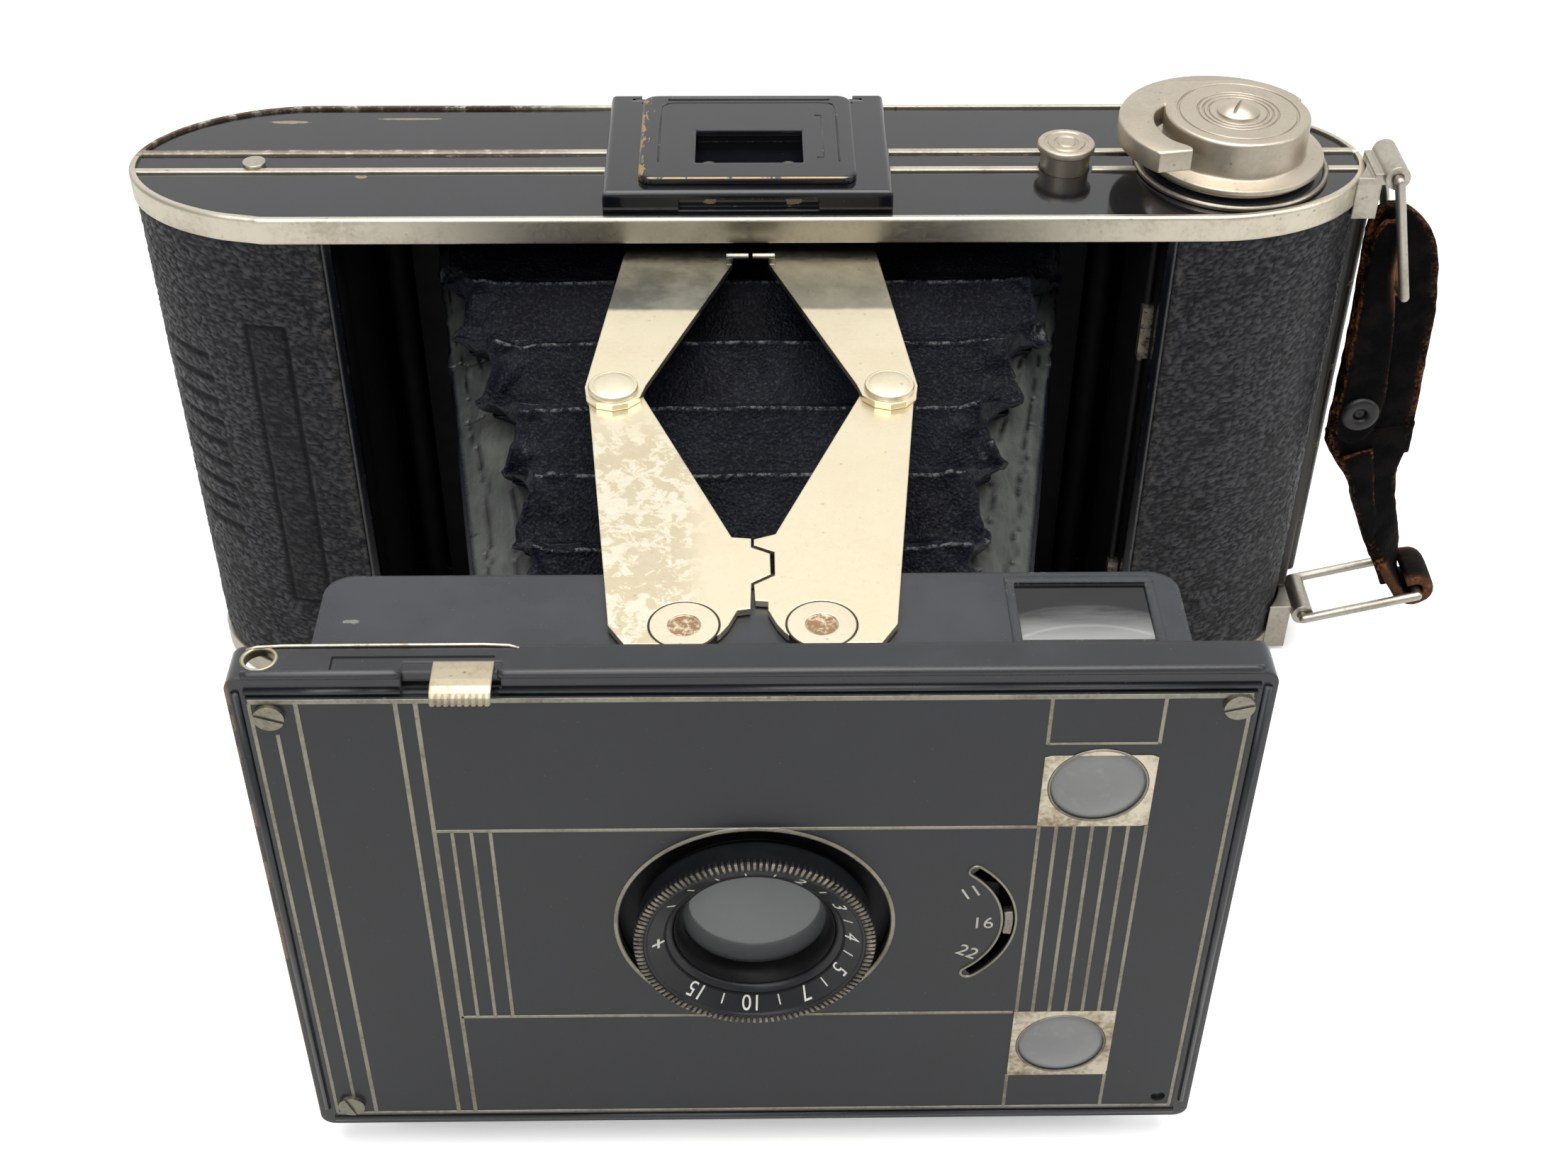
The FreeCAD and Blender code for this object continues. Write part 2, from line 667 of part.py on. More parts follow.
def rear_stay():
    """Top left rear stay with a small peg towards the middle."""
    stay = fuse(
        prism_z(REAR_STAY_LEFT, REAR_STAY_Z0, REAR_STAY_Z1),
        box(-3.1, -2.35, -3.4, -2.5, REAR_STAY_Z1 - 0.2, 77.9),
        cyl_x(-2.95, 77.98, -3.1, -0.25, 0.42),
    )
    return cut(
        stay,
        hole_z(-PIVOT_X, PIVOT_REAR_Y, 3.05),
        hole_z(-ELBOW_X, ELBOW_Y, 1.6),
    )


def front_stay(side, middle):
    """Top front stay; side is 1 for right, -1 for left."""
    outline = FRONT_STAY_OUTER + middle + FRONT_STAY_INNER
    return cut(
        prism_z([(side * x, y) for x, y in outline], FRONT_STAY_Z0, FRONT_STAY_Z1),
        hole_z(side * PIVOT_X, PIVOT_FRONT_Y, 3.75),
        hole_z(side * ELBOW_X, ELBOW_Y, 1.65),
    )


def elbow_rivet():
    """Top left rivet that joins the two stays."""
    head_top = REAR_STAY_Z1 + 0.65
    rivet = fuse(
        cyl_z(-ELBOW_X, ELBOW_Y, FRONT_STAY_Z0 + 0.02, REAR_STAY_Z1 + 0.3, 1.6),
        cyl_z(-ELBOW_X, ELBOW_Y, REAR_STAY_Z1, head_top, 2.9),
    )
    return rivet.makeFillet(0.25, edges_at(rivet, head_top))


def rear_pivots():
    x, y = -PIVOT_X, PIVOT_REAR_Y
    return four_corners(fuse(
        cyl_z(x, y, REAR_STAY_Z0 + 0.05, REAR_STAY_Z1 + 0.1, 3.0),
        cyl_z(x, y, REAR_STAY_Z1 + 0.08, RIM_Z, 3.6),
        cyl_z(x, y, RIM_Z - 0.5, RIM_Z + 1.2, 1.6),
    ))


def front_pivots():
    x, y = -PIVOT_X, PIVOT_FRONT_Y
    pivot = fuse(
        cyl_z(x, y, BOX_Z1, FRONT_STAY_Z1 + 0.02, 3.7),
        cyl_z(x, y, BOX_Z1 - 1.4, BOX_Z1 + 0.1, 1.7),
    )
    return four_corners(pivot.cut(cyl_z(x, y, FRONT_STAY_Z1 - 0.15, FRONT_STAY_Z1 + 1, 1.7)))


def write_stays():
    left_rear, left_elbow = rear_stay(), elbow_rivet()
    sides = {
        "left": (left_rear, left_elbow, front_stay(-1, TOOTH_LEFT)),
        "right": (mirror_x(left_rear), mirror_x(left_elbow), front_stay(1, NOTCH_RIGHT)),
    }
    for side, shapes in sides.items():
        for level in ("top", "bottom"):
            if level == "bottom":
                shapes = [mirror_z(shape) for shape in shapes]
            rear, elbow, front = shapes
            write_node("stay_rear_%s_%s" % (level, side), [rear, elbow])
            write_node("stay_front_%s_%s" % (level, side), front)


# ---------------------------------------------------------------- front standard
SHEET = 1.0                            # wall of the frame and the box
FRAME_X, STD_Z0, STD_Z1 = 52.3, 4.8, 77.5
STD_Y0, STD_Y1 = -82.0, -77.3          # front and back of the frame
PLATE_Y0, PLATE_Y1 = -82.5, STD_Y0     # face plate
BOX_X, BOX_Z0, BOX_YB = 45.0, 6.8, -63.5  # box; BOX_YB is its back face

SOCKET_X, SOCKET_Y, SOCKET_R = -49.1, -79.15, 1.6  # cable release
SCREWS = ((-48.2, MID_Z + 31.9), (48.6, MID_Z + 32.5), (-48.1, MID_Z - 31.7))
# Finder fronts (X, Z); the lower one also has a side window.
FINDER_FRONTS = ((35.6, MID_Z + 21.25), (35.65, MID_Z - 21.4))
SIDE_WINDOW_Z = FINDER_FRONTS[1][1]
TOP_WINDOW = (27.6, 41.4)              # X range
FINDER_Y0, FINDER_Y1 = -74.4, -65.4    # Y range of the top and side windows
SIDE_HALF_Z = 6.2
GLASS_GAP = 0.05


def standard_frame():
    frame = box(-FRAME_X, FRAME_X, STD_Y0, STD_Y1, STD_Z0, STD_Z1)
    corners = [e for e in frame.Edges if abs(e.Length - (STD_Y1 - STD_Y0)) < 1e-6]
    inner_x = FRAME_X - SHEET
    return cut(
        frame.makeFillet(1.6, corners),
        box(-inner_x, inner_x, STD_Y0 + SHEET, STD_Y1 + 1, STD_Z0 + SHEET, STD_Z1 - SHEET),
        box(-44.0, 44.0, STD_Y0 - 1, STD_Y0 + 2, BOX_Z0 + SHEET, BOX_Z1 - SHEET),
        box(-34.8, -24.9, STD_Y0 - 1, -79.9, 75.45, STD_Z1 + 1),  # lever notch
        cyl_z(SOCKET_X, SOCKET_Y, 60, 90, SOCKET_R),
        *[cyl_y(x, z, -90, -79, 0.82) for x, z in SCREWS],
    )


def cable_release_socket():
    socket = cyl_z(SOCKET_X, SOCKET_Y, 71.5, STD_Z1 - SHEET, 1.84)
    return socket.cut(hole_z(SOCKET_X, SOCKET_Y, SOCKET_R))


def face_plate():
    plate = box(-50.3, 50.3, PLATE_Y0, PLATE_Y1, 7.05, 75.2)
    plate = cut(plate, hole_y(0, LENS_Z, 15.0), *[hole_y(x, z, 5.25) for x, z in FINDER_FRONTS])
    # curved slot for the stop tab, limited by a wedge about its pivot
    ring = cyl_y(STOP_X, LENS_Z, -90, -70, STOP_R + 0.75)
    ring = ring.cut(hole_y(STOP_X, LENS_Z, STOP_R - 0.75))
    half_angle = 52.0
    wedge = prism_y(
        [
            (STOP_X, LENS_Z),
            polar(STOP_X, LENS_Z, 40, half_angle),
            (STOP_X + 60, LENS_Z),
            polar(STOP_X, LENS_Z, 40, -half_angle),
        ],
        -92, -68,
    )
    plate = plate.cut(ring.common(wedge))
    # the fourth hole has no screw
    return cut(plate, *[hole_y(x, z, 0.85) for x, z in SCREWS + ((48.3, MID_Z - 31.8),)])


def plate_screws():
    screws = []
    for (x, z), slot_angle in zip(SCREWS, (20, -15, 70)):
        screw = fuse(
            cyl_y(x, z, PLATE_Y0 - 0.55, PLATE_Y0, 1.55),
            cyl_y(x, z, PLATE_Y0 - 0.1, STD_Y0 + 0.9, 0.8),
        )
        slot = box(-2, 2, PLATE_Y0 - 1, PLATE_Y0 - 0.25, -0.2, 0.2)
        slot.rotate(V(0, 0, 0), V(0, 1, 0), slot_angle)
        slot.translate(V(x, 0, z))
        screws.append(screw.cut(slot))
    return screws


def standard_box():
    shell = box(-BOX_X, BOX_X, BOX_YB - 17.45, BOX_YB, BOX_Z0, BOX_Z1)
    back_corners = [
        e for e in shell.Edges
        if abs(e.Length - (BOX_Z1 - BOX_Z0)) < 1e-6 and e.BoundBox.YMin > BOX_YB - 1
    ]
    inner_x = BOX_X - SHEET
    side_z0, side_z1 = SIDE_WINDOW_Z - SIDE_HALF_Z, SIDE_WINDOW_Z + SIDE_HALF_Z
    return cut(
        shell.makeFillet(3.0, back_corners),
        box(-inner_x, inner_x, BOX_YB - 20, BOX_YB - SHEET, BOX_Z0 + SHEET, BOX_Z1 - SHEET),
        box(-20, 20, BOX_YB - 3, BOX_YB + 1, LENS_Z - 17, LENS_Z + 17),
        box(*TOP_WINDOW, FINDER_Y0, FINDER_Y1, BOX_Z1 - 2, BOX_Z1 + 1),
        box(BOX_X - 2, BOX_X + 1, FINDER_Y0, FINDER_Y1, side_z0, side_z1),
        hole_z(PIVOT_X, PIVOT_FRONT_Y, 1.72),
        hole_z(-PIVOT_X, PIVOT_FRONT_Y, 1.72),
    )


def shutter_lever():
    """Lever on the frame's top edge, notched along its front."""
    x0, x1 = -31.65, -25.6
    lever = fuse(
        box(x0, x1, -85.1, -80.6, 75.55, 76.4),
        box(x0 + 0.5, x1 - 0.5, -80.7, -78.5, 75.55, 76.4),
        box(x0, x1, -85.1, -84.2, 74.9, 77.0),
    )
    for k in range(9):
        x = x0 + 0.35 + 0.67 * k
        lever = lever.cut(prism_z([(x - 0.2, -85.3), (x + 0.2, -85.3), (x, -84.75)], 70, 80))
    return lever


# ---------------------------------------------------------------- lens and shutter
MOUNT_Y0, MOUNT_Y1 = -81.95, -80.3
MOUNT_POSTS = ((-9.0, 21.5), (26.0, 12.5))  # X, distance above and below the lens axis
MOUNT_ARMS = (                              # same columns
    ((-11, 12), (-7, 12), (-7.2, 21.5), (-10.8, 21.5)),
    ((13, 11), (15, 7), (26.8, 10.6), (26, 14.4)),
)
KNURL_TEETH = 120


def lens_mount():
    ring = lens_cyl(MOUNT_Y0, MOUNT_Y1, 17.5).cut(lens_cyl(-82.5, -81.0, 14.9))
    mount = fuse(lens_cyl(-84.3, MOUNT_Y1, 12.0), ring)
    ears = [
        fuse(
            cyl_y(x, LENS_Z + sign * rise, MOUNT_Y0, MOUNT_Y1, 2.2),
            cyl_y(x, LENS_Z + sign * rise, -80.4, -76.0, 1.2),
        )
        for x, rise in MOUNT_POSTS for sign in (-1, 1)
    ]
    arms = [
        prism_y([(x, LENS_Z + sign * rise) for x, rise in arm], MOUNT_Y0, MOUNT_Y1)
        for arm in MOUNT_ARMS for sign in (1, -1)
    ]
    return cut(
        fuse(mount, *ears, *arms),
        hole_y(0, LENS_Z, 9.65),
        hole_y(STOP_X, LENS_Z, 0.9),
        hole_y(BLADE_X, BLADE_Z, 0.9),
    )


def toothed_wire(tip_r, root_r, y):
    points = []
    for k in range(2 * KNURL_TEETH):
        t = math.pi * k / KNURL_TEETH
        r = tip_r if k % 2 == 0 else root_r
        points.append(V(r * math.cos(t), y, LENS_Z + r * math.sin(t)))
    return Part.makePolygon(points + [points[0]])


def focusing_ring():
    front = toothed_wire(12.75, 12.5, -85.5)
    back = toothed_wire(13.65, 13.33, -84.55)
    teeth = Part.makeLoft([front, back], True, True)
    toothed_band = Part.Face(back).extrude(V(0, 0.3, 0))
    return cut(
        fuse(teeth, toothed_band, lens_cyl(-84.4, -82.2, 13.1)),
        lens_cyl(-84.6, -80, 12.05),
        lens_cyl(-90, -80, 9.15),
        Part.makeCone(12.6, 10.6, 0.75, V(0, -85.51, LENS_Z), V(0, 1, 0)),
    )


def front_lens_cell():
    cell = lens_cyl(-84.55, -79.6, 9.6).cut(lens_cyl(-81.0, -70, 8.45))
    cell = fuse(cell, lens_cyl(-85.1, -84.5, 9.1))
    return cell.cut(Part.makeCone(8.95, 7.95, 4.3, V(0, -85.11, LENS_Z), V(0, 1, 0)))


def lens_disc(y_front, y_back, radius, front_curve, back_curve):
    """Glass disc with two bulged faces."""
    front = Part.makeSphere(front_curve, V(0, y_front + front_curve, LENS_Z))
    back = Part.makeSphere(back_curve, V(0, y_back - back_curve, LENS_Z))
    return lens_cyl(y_front, y_back, radius).common(front).common(back)


def front_lens_element():
    """Disc whose front part is narrower, to seat in the cell."""
    disc = lens_disc(-82.4, -79.4, 8.4, 24.0, 40.0)
    return fuse(
        disc.common(box(-20, 20, -80.95, -70)),
        disc.common(lens_cyl(-90, -80.9, 7.85)),
    )


def rear_lens_element():
    return lens_disc(-72.5, -69.6, 7.0, 60.0, 22.0)


def shutter_board():
    front_y, back_y = -75.95, -75.1
    panel = cut(
        box(-16, 31, front_y, back_y, LENS_Z - 24, LENS_Z + 24),
        box(-40, -11.5, -80, -70, z0=LENS_Z + 8),
        box(-40, -11.5, -80, -70, z1=LENS_Z - 8),
    )
    board = cut(
        fuse(panel, lens_cyl(front_y, -67.5, 8.6)),
        box(27.0, 60, -80, -60, z0=LENS_Z + 15.0),
        box(27.0, 60, -80, -60, z1=LENS_Z - 15.0),
        lens_cyl(-80, -60, 6.2),
        lens_cyl(-73.0, -60, 7.05),
    )
    # pivots of the stop sector and the shutter blade
    return fuse(
        board,
        cyl_y(STOP_X, LENS_Z, -81.9, back_y, 0.88),
        cyl_y(BLADE_X, BLADE_Z, -81.9, back_y, 0.88),
    )


def stop_sector():
    """Sector with three openings, hub and tab."""
    y0, y1 = -77.6, -77.1
    z = LENS_Z
    half_angle, steps = 56, 24
    angles = [180 - half_angle + 2 * half_angle * i / steps for i in range(steps + 1)]
    outer = [polar(STOP_X, z, 23.0, angle) for angle in angles]
    inner = [polar(STOP_X, z, 11.2, angle) for angle in reversed(angles)]
    tab_x = STOP_X + STOP_R
    web_x, arm_x = STOP_X - 12.2, tab_x + 1.0
    sector = fuse(
        prism_y(outer + inner, y0, y1),
        prism_y([(STOP_X, z - 3), (web_x, z - 4.5), (web_x, z + 4.5), (STOP_X, z + 3)], y0, y1),
        cyl_y(STOP_X, z, y0, y1, 3.0),
        prism_y(
            [(STOP_X, z - 1.6), (arm_x, z - 0.9), (arm_x, z + 0.9), (STOP_X, z + 1.6)], y0, y1
        ),
        cyl_y(tab_x, z, -83.3, y1, 0.62),
    )
    # openings on the circle through the lens axis
    for radius, angle in ((3.3, 180), (4.75, 180 - 38), (2.4, 180 + 38)):
        sector = sector.cut(hole_y(*polar(STOP_X, z, STOP_X, angle), radius))
    sector = sector.cut(hole_y(STOP_X, z, 0.95))
    return fuse(sector, box(tab_x - 1.3, tab_x + 1.3, -83.9, -83.0, z - 1.0, z + 1.0))


def shutter_blade():
    y0, y1 = -78.95, -78.55
    arm = [
        (BLADE_X, BLADE_Z + 2.4), (BLADE_X + 0.8, BLADE_Z - 2.4),
        (-1, LENS_Z - 8.0), (-6, LENS_Z + 5.0),
    ]
    blade = fuse(
        lens_cyl(y0, y1, 8.6), prism_y(arm, y0, y1), cyl_y(BLADE_X, BLADE_Z, y0, y1, 2.6)
    )
    return blade.cut(hole_y(BLADE_X, BLADE_Z, 0.95))


# ---------------------------------------------------------------- finders
def finder_mirrors():
    upper = [(-76.6, 58.0), (-76.2, 57.6), (-66.2, 67.6), (-66.6, 68.0)]  # Y, Z
    lower = [(31.0, -76.6), (31.4, -77.0), (41.0, -66.6), (40.6, -66.2)]  # X, Y
    return [
        prism_x(upper, 30.3, 40.9),
        prism_z(lower, SIDE_WINDOW_Z - 5.3, SIDE_WINDOW_Z + 5.3),
    ]


def dome_lens(x, z):
    dome_r = 14.0
    dome = Part.makeSphere(dome_r, V(x, PLATE_Y0 - 0.75 + dome_r, z))
    return dome.common(cyl_y(x, z, -90, PLATE_Y1 - 0.02, 5.2))


def finder_glasses():
    x0, x1 = TOP_WINDOW[0] + GLASS_GAP, TOP_WINDOW[1] - GLASS_GAP
    y0, y1 = FINDER_Y0 + GLASS_GAP, FINDER_Y1 - GLASS_GAP
    half_z = SIDE_HALF_Z - GLASS_GAP
    side_z0, side_z1 = SIDE_WINDOW_Z - half_z, SIDE_WINDOW_Z + half_z
    return [dome_lens(x, z) for x, z in FINDER_FRONTS] + [
        box(x0, x1, y0, y1, BOX_Z1 - 1.0, BOX_Z1 - 0.25),
        box(BOX_X - 1.0, BOX_X - 0.25, y0, y1, side_z0, side_z1),
    ]


# ---------------------------------------------------------------- bellows
BELLOWS_WALL = 1.6
BELLOWS_STATIONS = (  # Y, half width, middle Z, half height
    (BOX_YB + 0.1, 24.0, LENS_Z, 26.0),
    (2.5, 38.5, MID_Z, 31.0),
    (22.6, 46.5, MID_Z, 32.5),
)


def bellows_loft(inset, end_shifts):
    wires = []
    for (y, half_x, mid_z, half_z), shift in zip(BELLOWS_STATIONS, end_shifts):
        y, half_x, half_z = y + shift, half_x - inset, half_z - inset
        corners = [
            V(x_sign * half_x, y, mid_z + z_sign * half_z)
            for x_sign, z_sign in ((-1, -1), (1, -1), (1, 1), (-1, 1))
        ]
        wires.append(Part.makePolygon(corners + [corners[0]]))
    return Part.makeLoft(wires, True, True)


def bellows():
    """Plain tapered tube; the inner loft runs past both ends to leave it open."""
    return bellows_loft(0, (0, 0, 0)).cut(bellows_loft(BELLOWS_WALL, (-1, 0, 1)))


# ---------------------------------------------------------------- output
# Each of these functions carries the name of its node.
for piece in (
    body_shell, front_leatherettes, body_trim, door_trim, inner_frame, catch_rod,
    spool_pins, tripod_bush, knob_base, winding_knob, knob_screw, release_button,
    finder_block, finder_frame_plate, top_rivets, hinge_leaf_body, hinge_leaf_door,
    hinge_pins, strap_lugs, strap_loop_upper, strap_loop_lower, carrying_strap,
    back_door, leatherette_back, window_bezel, red_window, door_latch, pressure_plate,
    pressure_springs, rear_pivots, front_pivots, standard_frame, cable_release_socket,
    face_plate, plate_screws, standard_box, shutter_lever, lens_mount, focusing_ring,
    front_lens_cell, front_lens_element, rear_lens_element, shutter_board, stop_sector,
    shutter_blade, finder_mirrors, finder_glasses, bellows,
):
    write_node(piece.__name__, piece())
write_node("guide_roller_left", guide_roller(-1))
write_node("guide_roller_right", guide_roller(1))
write_node("take_up_spool", spool(1))
write_node("feed_spool", spool(-1))
write_stays()
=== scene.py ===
"""A folding bellows camera, opened, standing on a pale sweep.
"""
import bpy
import bmesh
import math
import numpy as np
from functools import cached_property
from mathutils import Matrix, Vector

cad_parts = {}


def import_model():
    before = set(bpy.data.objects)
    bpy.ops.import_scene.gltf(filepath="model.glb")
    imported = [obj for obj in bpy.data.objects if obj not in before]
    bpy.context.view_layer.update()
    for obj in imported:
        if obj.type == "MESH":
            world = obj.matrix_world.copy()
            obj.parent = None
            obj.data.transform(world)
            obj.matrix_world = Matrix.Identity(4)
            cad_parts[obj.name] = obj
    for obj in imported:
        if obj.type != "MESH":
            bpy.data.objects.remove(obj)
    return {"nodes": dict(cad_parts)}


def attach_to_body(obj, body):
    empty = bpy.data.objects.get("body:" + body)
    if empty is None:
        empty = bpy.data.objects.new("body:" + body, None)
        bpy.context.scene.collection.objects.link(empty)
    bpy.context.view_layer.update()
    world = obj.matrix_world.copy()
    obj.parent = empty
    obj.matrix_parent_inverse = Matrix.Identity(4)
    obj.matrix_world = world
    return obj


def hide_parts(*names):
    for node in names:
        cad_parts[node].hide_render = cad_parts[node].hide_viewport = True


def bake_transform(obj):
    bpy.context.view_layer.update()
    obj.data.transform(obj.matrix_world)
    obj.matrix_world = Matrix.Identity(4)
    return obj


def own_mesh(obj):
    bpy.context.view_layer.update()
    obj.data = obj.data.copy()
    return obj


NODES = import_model()["nodes"]
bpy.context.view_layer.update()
SCENE = bpy.context.scene

# ------------------------------------------------------------------ driving places
ORIGIN_Y = 6.5                      # working Y of the loaded frame's origin
MID_Z = 41.0                        # middle height of the body
LENS_Z = 40.95                      # lens axis; it lies at x = 0
KNOB_X, KNOB_Y, KNOB_TOP = 64.2, 14.3, 89.4
ELBOW_X, ELBOW_Y = 16.24, -31.4     # rivets where the front and rear stays meet
PIVOT_X, PIVOT_Y = 7.07, -72.9      # front pivots of the stays
PLATE_Z = 85.90                     # top of the finder plate


# ------------------------------------------------------------------ meshes
def to_metres(points):
    points = np.asarray(points, float).reshape(-1, 3)
    return (points - (0.0, ORIGIN_Y, 0.0)) * 0.001


def point(x, y, z):
    """One working point in metres."""
    return (x * 0.001, (y - ORIGIN_Y) * 0.001, z * 0.001)


def make_mesh(name, verts, faces, materials, smooth=True, attributes=None,
              face_materials=None, recalc=True):
    """Mesh object; attributes are per-vertex values, recalc turns the normals outwards."""
    data = bpy.data.meshes.new(name)
    faces = [tuple(face) for face in faces]
    data.from_pydata([tuple(p) for p in to_metres(verts)], [], faces)
    for material in materials:
        data.materials.append(material)
    if face_materials is not None:
        data.polygons.foreach_set("material_index", np.asarray(face_materials, np.int32))
    data.polygons.foreach_set("use_smooth", np.full(len(faces), smooth))
    for key, values in (attributes or {}).items():
        layer = data.attributes.new(key, "FLOAT", "POINT")
        layer.data.foreach_set("value", np.asarray(values, np.float32))
    data.validate()
    data.update()
    obj = bpy.data.objects.new(name, data)
    SCENE.collection.objects.link(obj)
    if recalc:
        bm = bmesh.new()
        bm.from_mesh(data)
        bmesh.ops.recalc_face_normals(bm, faces=bm.faces)
        bm.to_mesh(data)
        bm.free()
        data.update()
    return obj


def loft_faces(rows, ring, closed=False):
    """Quads between successive closed rings of points; closed joins the last ring to the first."""
    faces = []
    for i in range(rows if closed else rows - 1):
        j = (i + 1) % rows
        for a in range(ring):
            b = (a + 1) % ring
            faces.append((i * ring + a, i * ring + b, j * ring + b, j * ring + a))
    return faces


def bar_faces(rows, ring):
    """Lofted quads plus end fans round two extra points that follow the rings."""
    first, last, end = rows * ring, rows * ring + 1, (rows - 1) * ring
    faces = loft_faces(rows, ring)
    faces += [(first, (a + 1) % ring, a) for a in range(ring)]
    faces += [(last, end + a, end + (a + 1) % ring) for a in range(ring)]
    return faces


class Parts:
    """Collects the parts of one piece."""

    def __init__(self):
        self.verts, self.faces, self.materials, self.count = [], [], [], 0

    def add(self, verts, faces, material=0):
        verts = np.asarray(verts, float).reshape(-1, 3)
        self.verts.append(verts)
        self.faces += [tuple(int(i) + self.count for i in face) for face in faces]
        self.materials += [material] * len(faces)
        self.count += len(verts)

    def box(self, x0, x1, y0, y1, z0, z1, chamfer=0.0):
        """Box with its -Y face chamfered all round."""
        c = chamfer
        verts = [(x0, y1, z0), (x1, y1, z0), (x1, y1, z1), (x0, y1, z1),
                 (x0, y0 + c, z0), (x1, y0 + c, z0), (x1, y0 + c, z1), (x0, y0 + c, z1),
                 (x0 + c, y0, z0 + c), (x1 - c, y0, z0 + c), (x1 - c, y0, z1 - c),
                 (x0 + c, y0, z1 - c)]
        faces = [(0, 3, 2, 1), (0, 1, 5, 4), (1, 2, 6, 5), (2, 3, 7, 6), (3, 0, 4, 7),
                 (4, 5, 9, 8), (5, 6, 10, 9), (6, 7, 11, 10), (7, 4, 8, 11), (8, 9, 10, 11)]
        self.add(verts, faces)

    def lathe(self, profile, center, segments, axis="y"):
        """Turns a closed (radius, height) outline; center is (x, z) for axis y, (x, y) for z."""
        verts = []
        for i in range(segments):
            angle = 2 * math.pi * i / segments
            for radius, height in profile:
                u = center[0] + radius * math.cos(angle)
                v = center[1] + radius * math.sin(angle)
                verts.append((u, height, v) if axis == "y" else (u, v, height))
        self.add(verts, loft_faces(segments, len(profile), closed=True))

    def tube(self, path, radius, sides):
        """Round bar along a polyline with closed ends."""
        path = np.asarray(path, float)
        tangents = np.gradient(path, axis=0)
        tangents /= np.linalg.norm(tangents, axis=1)[:, None]
        normal = np.array([0.0, 0.0, 1.0] if abs(tangents[0][2]) < 0.9 else [0.0, 1.0, 0.0])
        verts = []
        for center, tangent in zip(path, tangents):
            normal = normal - tangent * (normal @ tangent)
            normal /= np.linalg.norm(normal)
            across = np.cross(tangent, normal)
            for i in range(sides):
                angle = 2 * math.pi * i / sides
                offset = normal * math.cos(angle) + across * math.sin(angle)
                verts.append(center + radius * offset)
        self.add(verts + [path[0], path[-1]], bar_faces(len(path), sides))

    def done(self, name, *materials, smooth=False, sharp=None):
        """The finished object; edges steeper than sharp degrees are marked sharp."""
        obj = make_mesh(name, np.vstack(self.verts), self.faces, materials, smooth,
                        face_materials=self.materials)
        if sharp is not None:
            obj.data.set_sharp_from_angle(angle=math.radians(sharp))
        return obj


def attach(obj, carrier, replaces=None):
    """The object rides on carrier and may stand in for a loaded piece."""
    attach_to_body(obj, carrier)
    if replaces:
        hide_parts(replaces)


def add_bevel(obj, width):
    bevel = obj.modifiers.new("b", "BEVEL")
    bevel.width = width
    bevel.segments = 2
    return bevel


def polar(center_x, center_y, radius, angle):
    return (center_x + radius * math.cos(angle), center_y + radius * math.sin(angle))


def distances(path):
    """Length along a polyline up to each of its points."""
    return np.concatenate([[0], np.cumsum(np.linalg.norm(np.diff(path, axis=0), axis=1))])


def smooth_path(stations, count):
    """Evenly spaced stations with their corners relaxed."""
    stations = np.array(stations, float)
    along = distances(stations)
    at = np.linspace(0, along[-1], count)
    path = np.column_stack([np.interp(at, along, column) for column in stations.T])
    for _ in range(10):
        path[1:-1] = 0.25 * path[:-2] + 0.5 * path[1:-1] + 0.25 * path[2:]
    return path


def bell(distance, width):
    return np.exp(-(distance / width) ** 2)


def clip01(values):
    return np.clip(values, 0, 1)


# ------------------------------------------------------------------ value noise
def lattice_hash(i, j, k, seed):
    """Fixed pseudo-random value 0..1 of a lattice point."""
    h = (i * 374761393 + j * 668265263 + k * 2147483647 + seed * 974634777) & 0xFFFFFFFF
    h = ((h ^ (h >> 13)) * 1274126177) & 0xFFFFFFFF
    h = h ^ (h >> 16)
    return (h & 0xFFFF) / 65535.0


CORNERS = (0, 1)
NEIGHBOURS = (-1, 0, 1)


def value_noise(points, size, seed=0):
    """Smooth noise in -1..1 with features of the given size."""
    scaled = np.asarray(points, float) / size
    base = np.floor(scaled).astype(np.int64)
    part = scaled - base
    ease = part * part * (3 - 2 * part)
    total = 0
    for dx in CORNERS:
        for dy in CORNERS:
            for dz in CORNERS:
                weight = ((ease[..., 0] if dx else 1 - ease[..., 0])
                          * (ease[..., 1] if dy else 1 - ease[..., 1])
                          * (ease[..., 2] if dz else 1 - ease[..., 2]))
                total = total + weight * lattice_hash(
                    base[..., 0] + dx, base[..., 1] + dy, base[..., 2] + dz, seed)
    return total * 2 - 1


def fractal_noise(points, size, octaves, seed):
    """Value noise summed over octaves of half the size and half the strength."""
    total, strength, weight = 0, 1.0, 0.0
    for octave in range(octaves):
        total = total + strength * value_noise(points, size / 2 ** octave, seed + 31 * octave)
        weight += strength
        strength *= 0.5
    return total / weight


def cell_distances(points, seed):
    """Distances to the nearest and second nearest jittered point of a unit lattice."""
    base = np.floor(points).astype(np.int64)
    nearest = np.full(len(points), 9.0)
    second = np.full(len(points), 9.0)
    for dx in NEIGHBOURS:
        for dy in NEIGHBOURS:
            for dz in NEIGHBOURS:
                cell = base + np.array([dx, dy, dz])
                jitter = np.column_stack([lattice_hash(*cell.T, seed + s) for s in (1, 2, 3)])
                d = np.linalg.norm(points - (cell + jitter), axis=1)
                second = np.where(d < nearest, nearest, np.minimum(second, d))
                nearest = np.minimum(nearest, d)
    return nearest, second


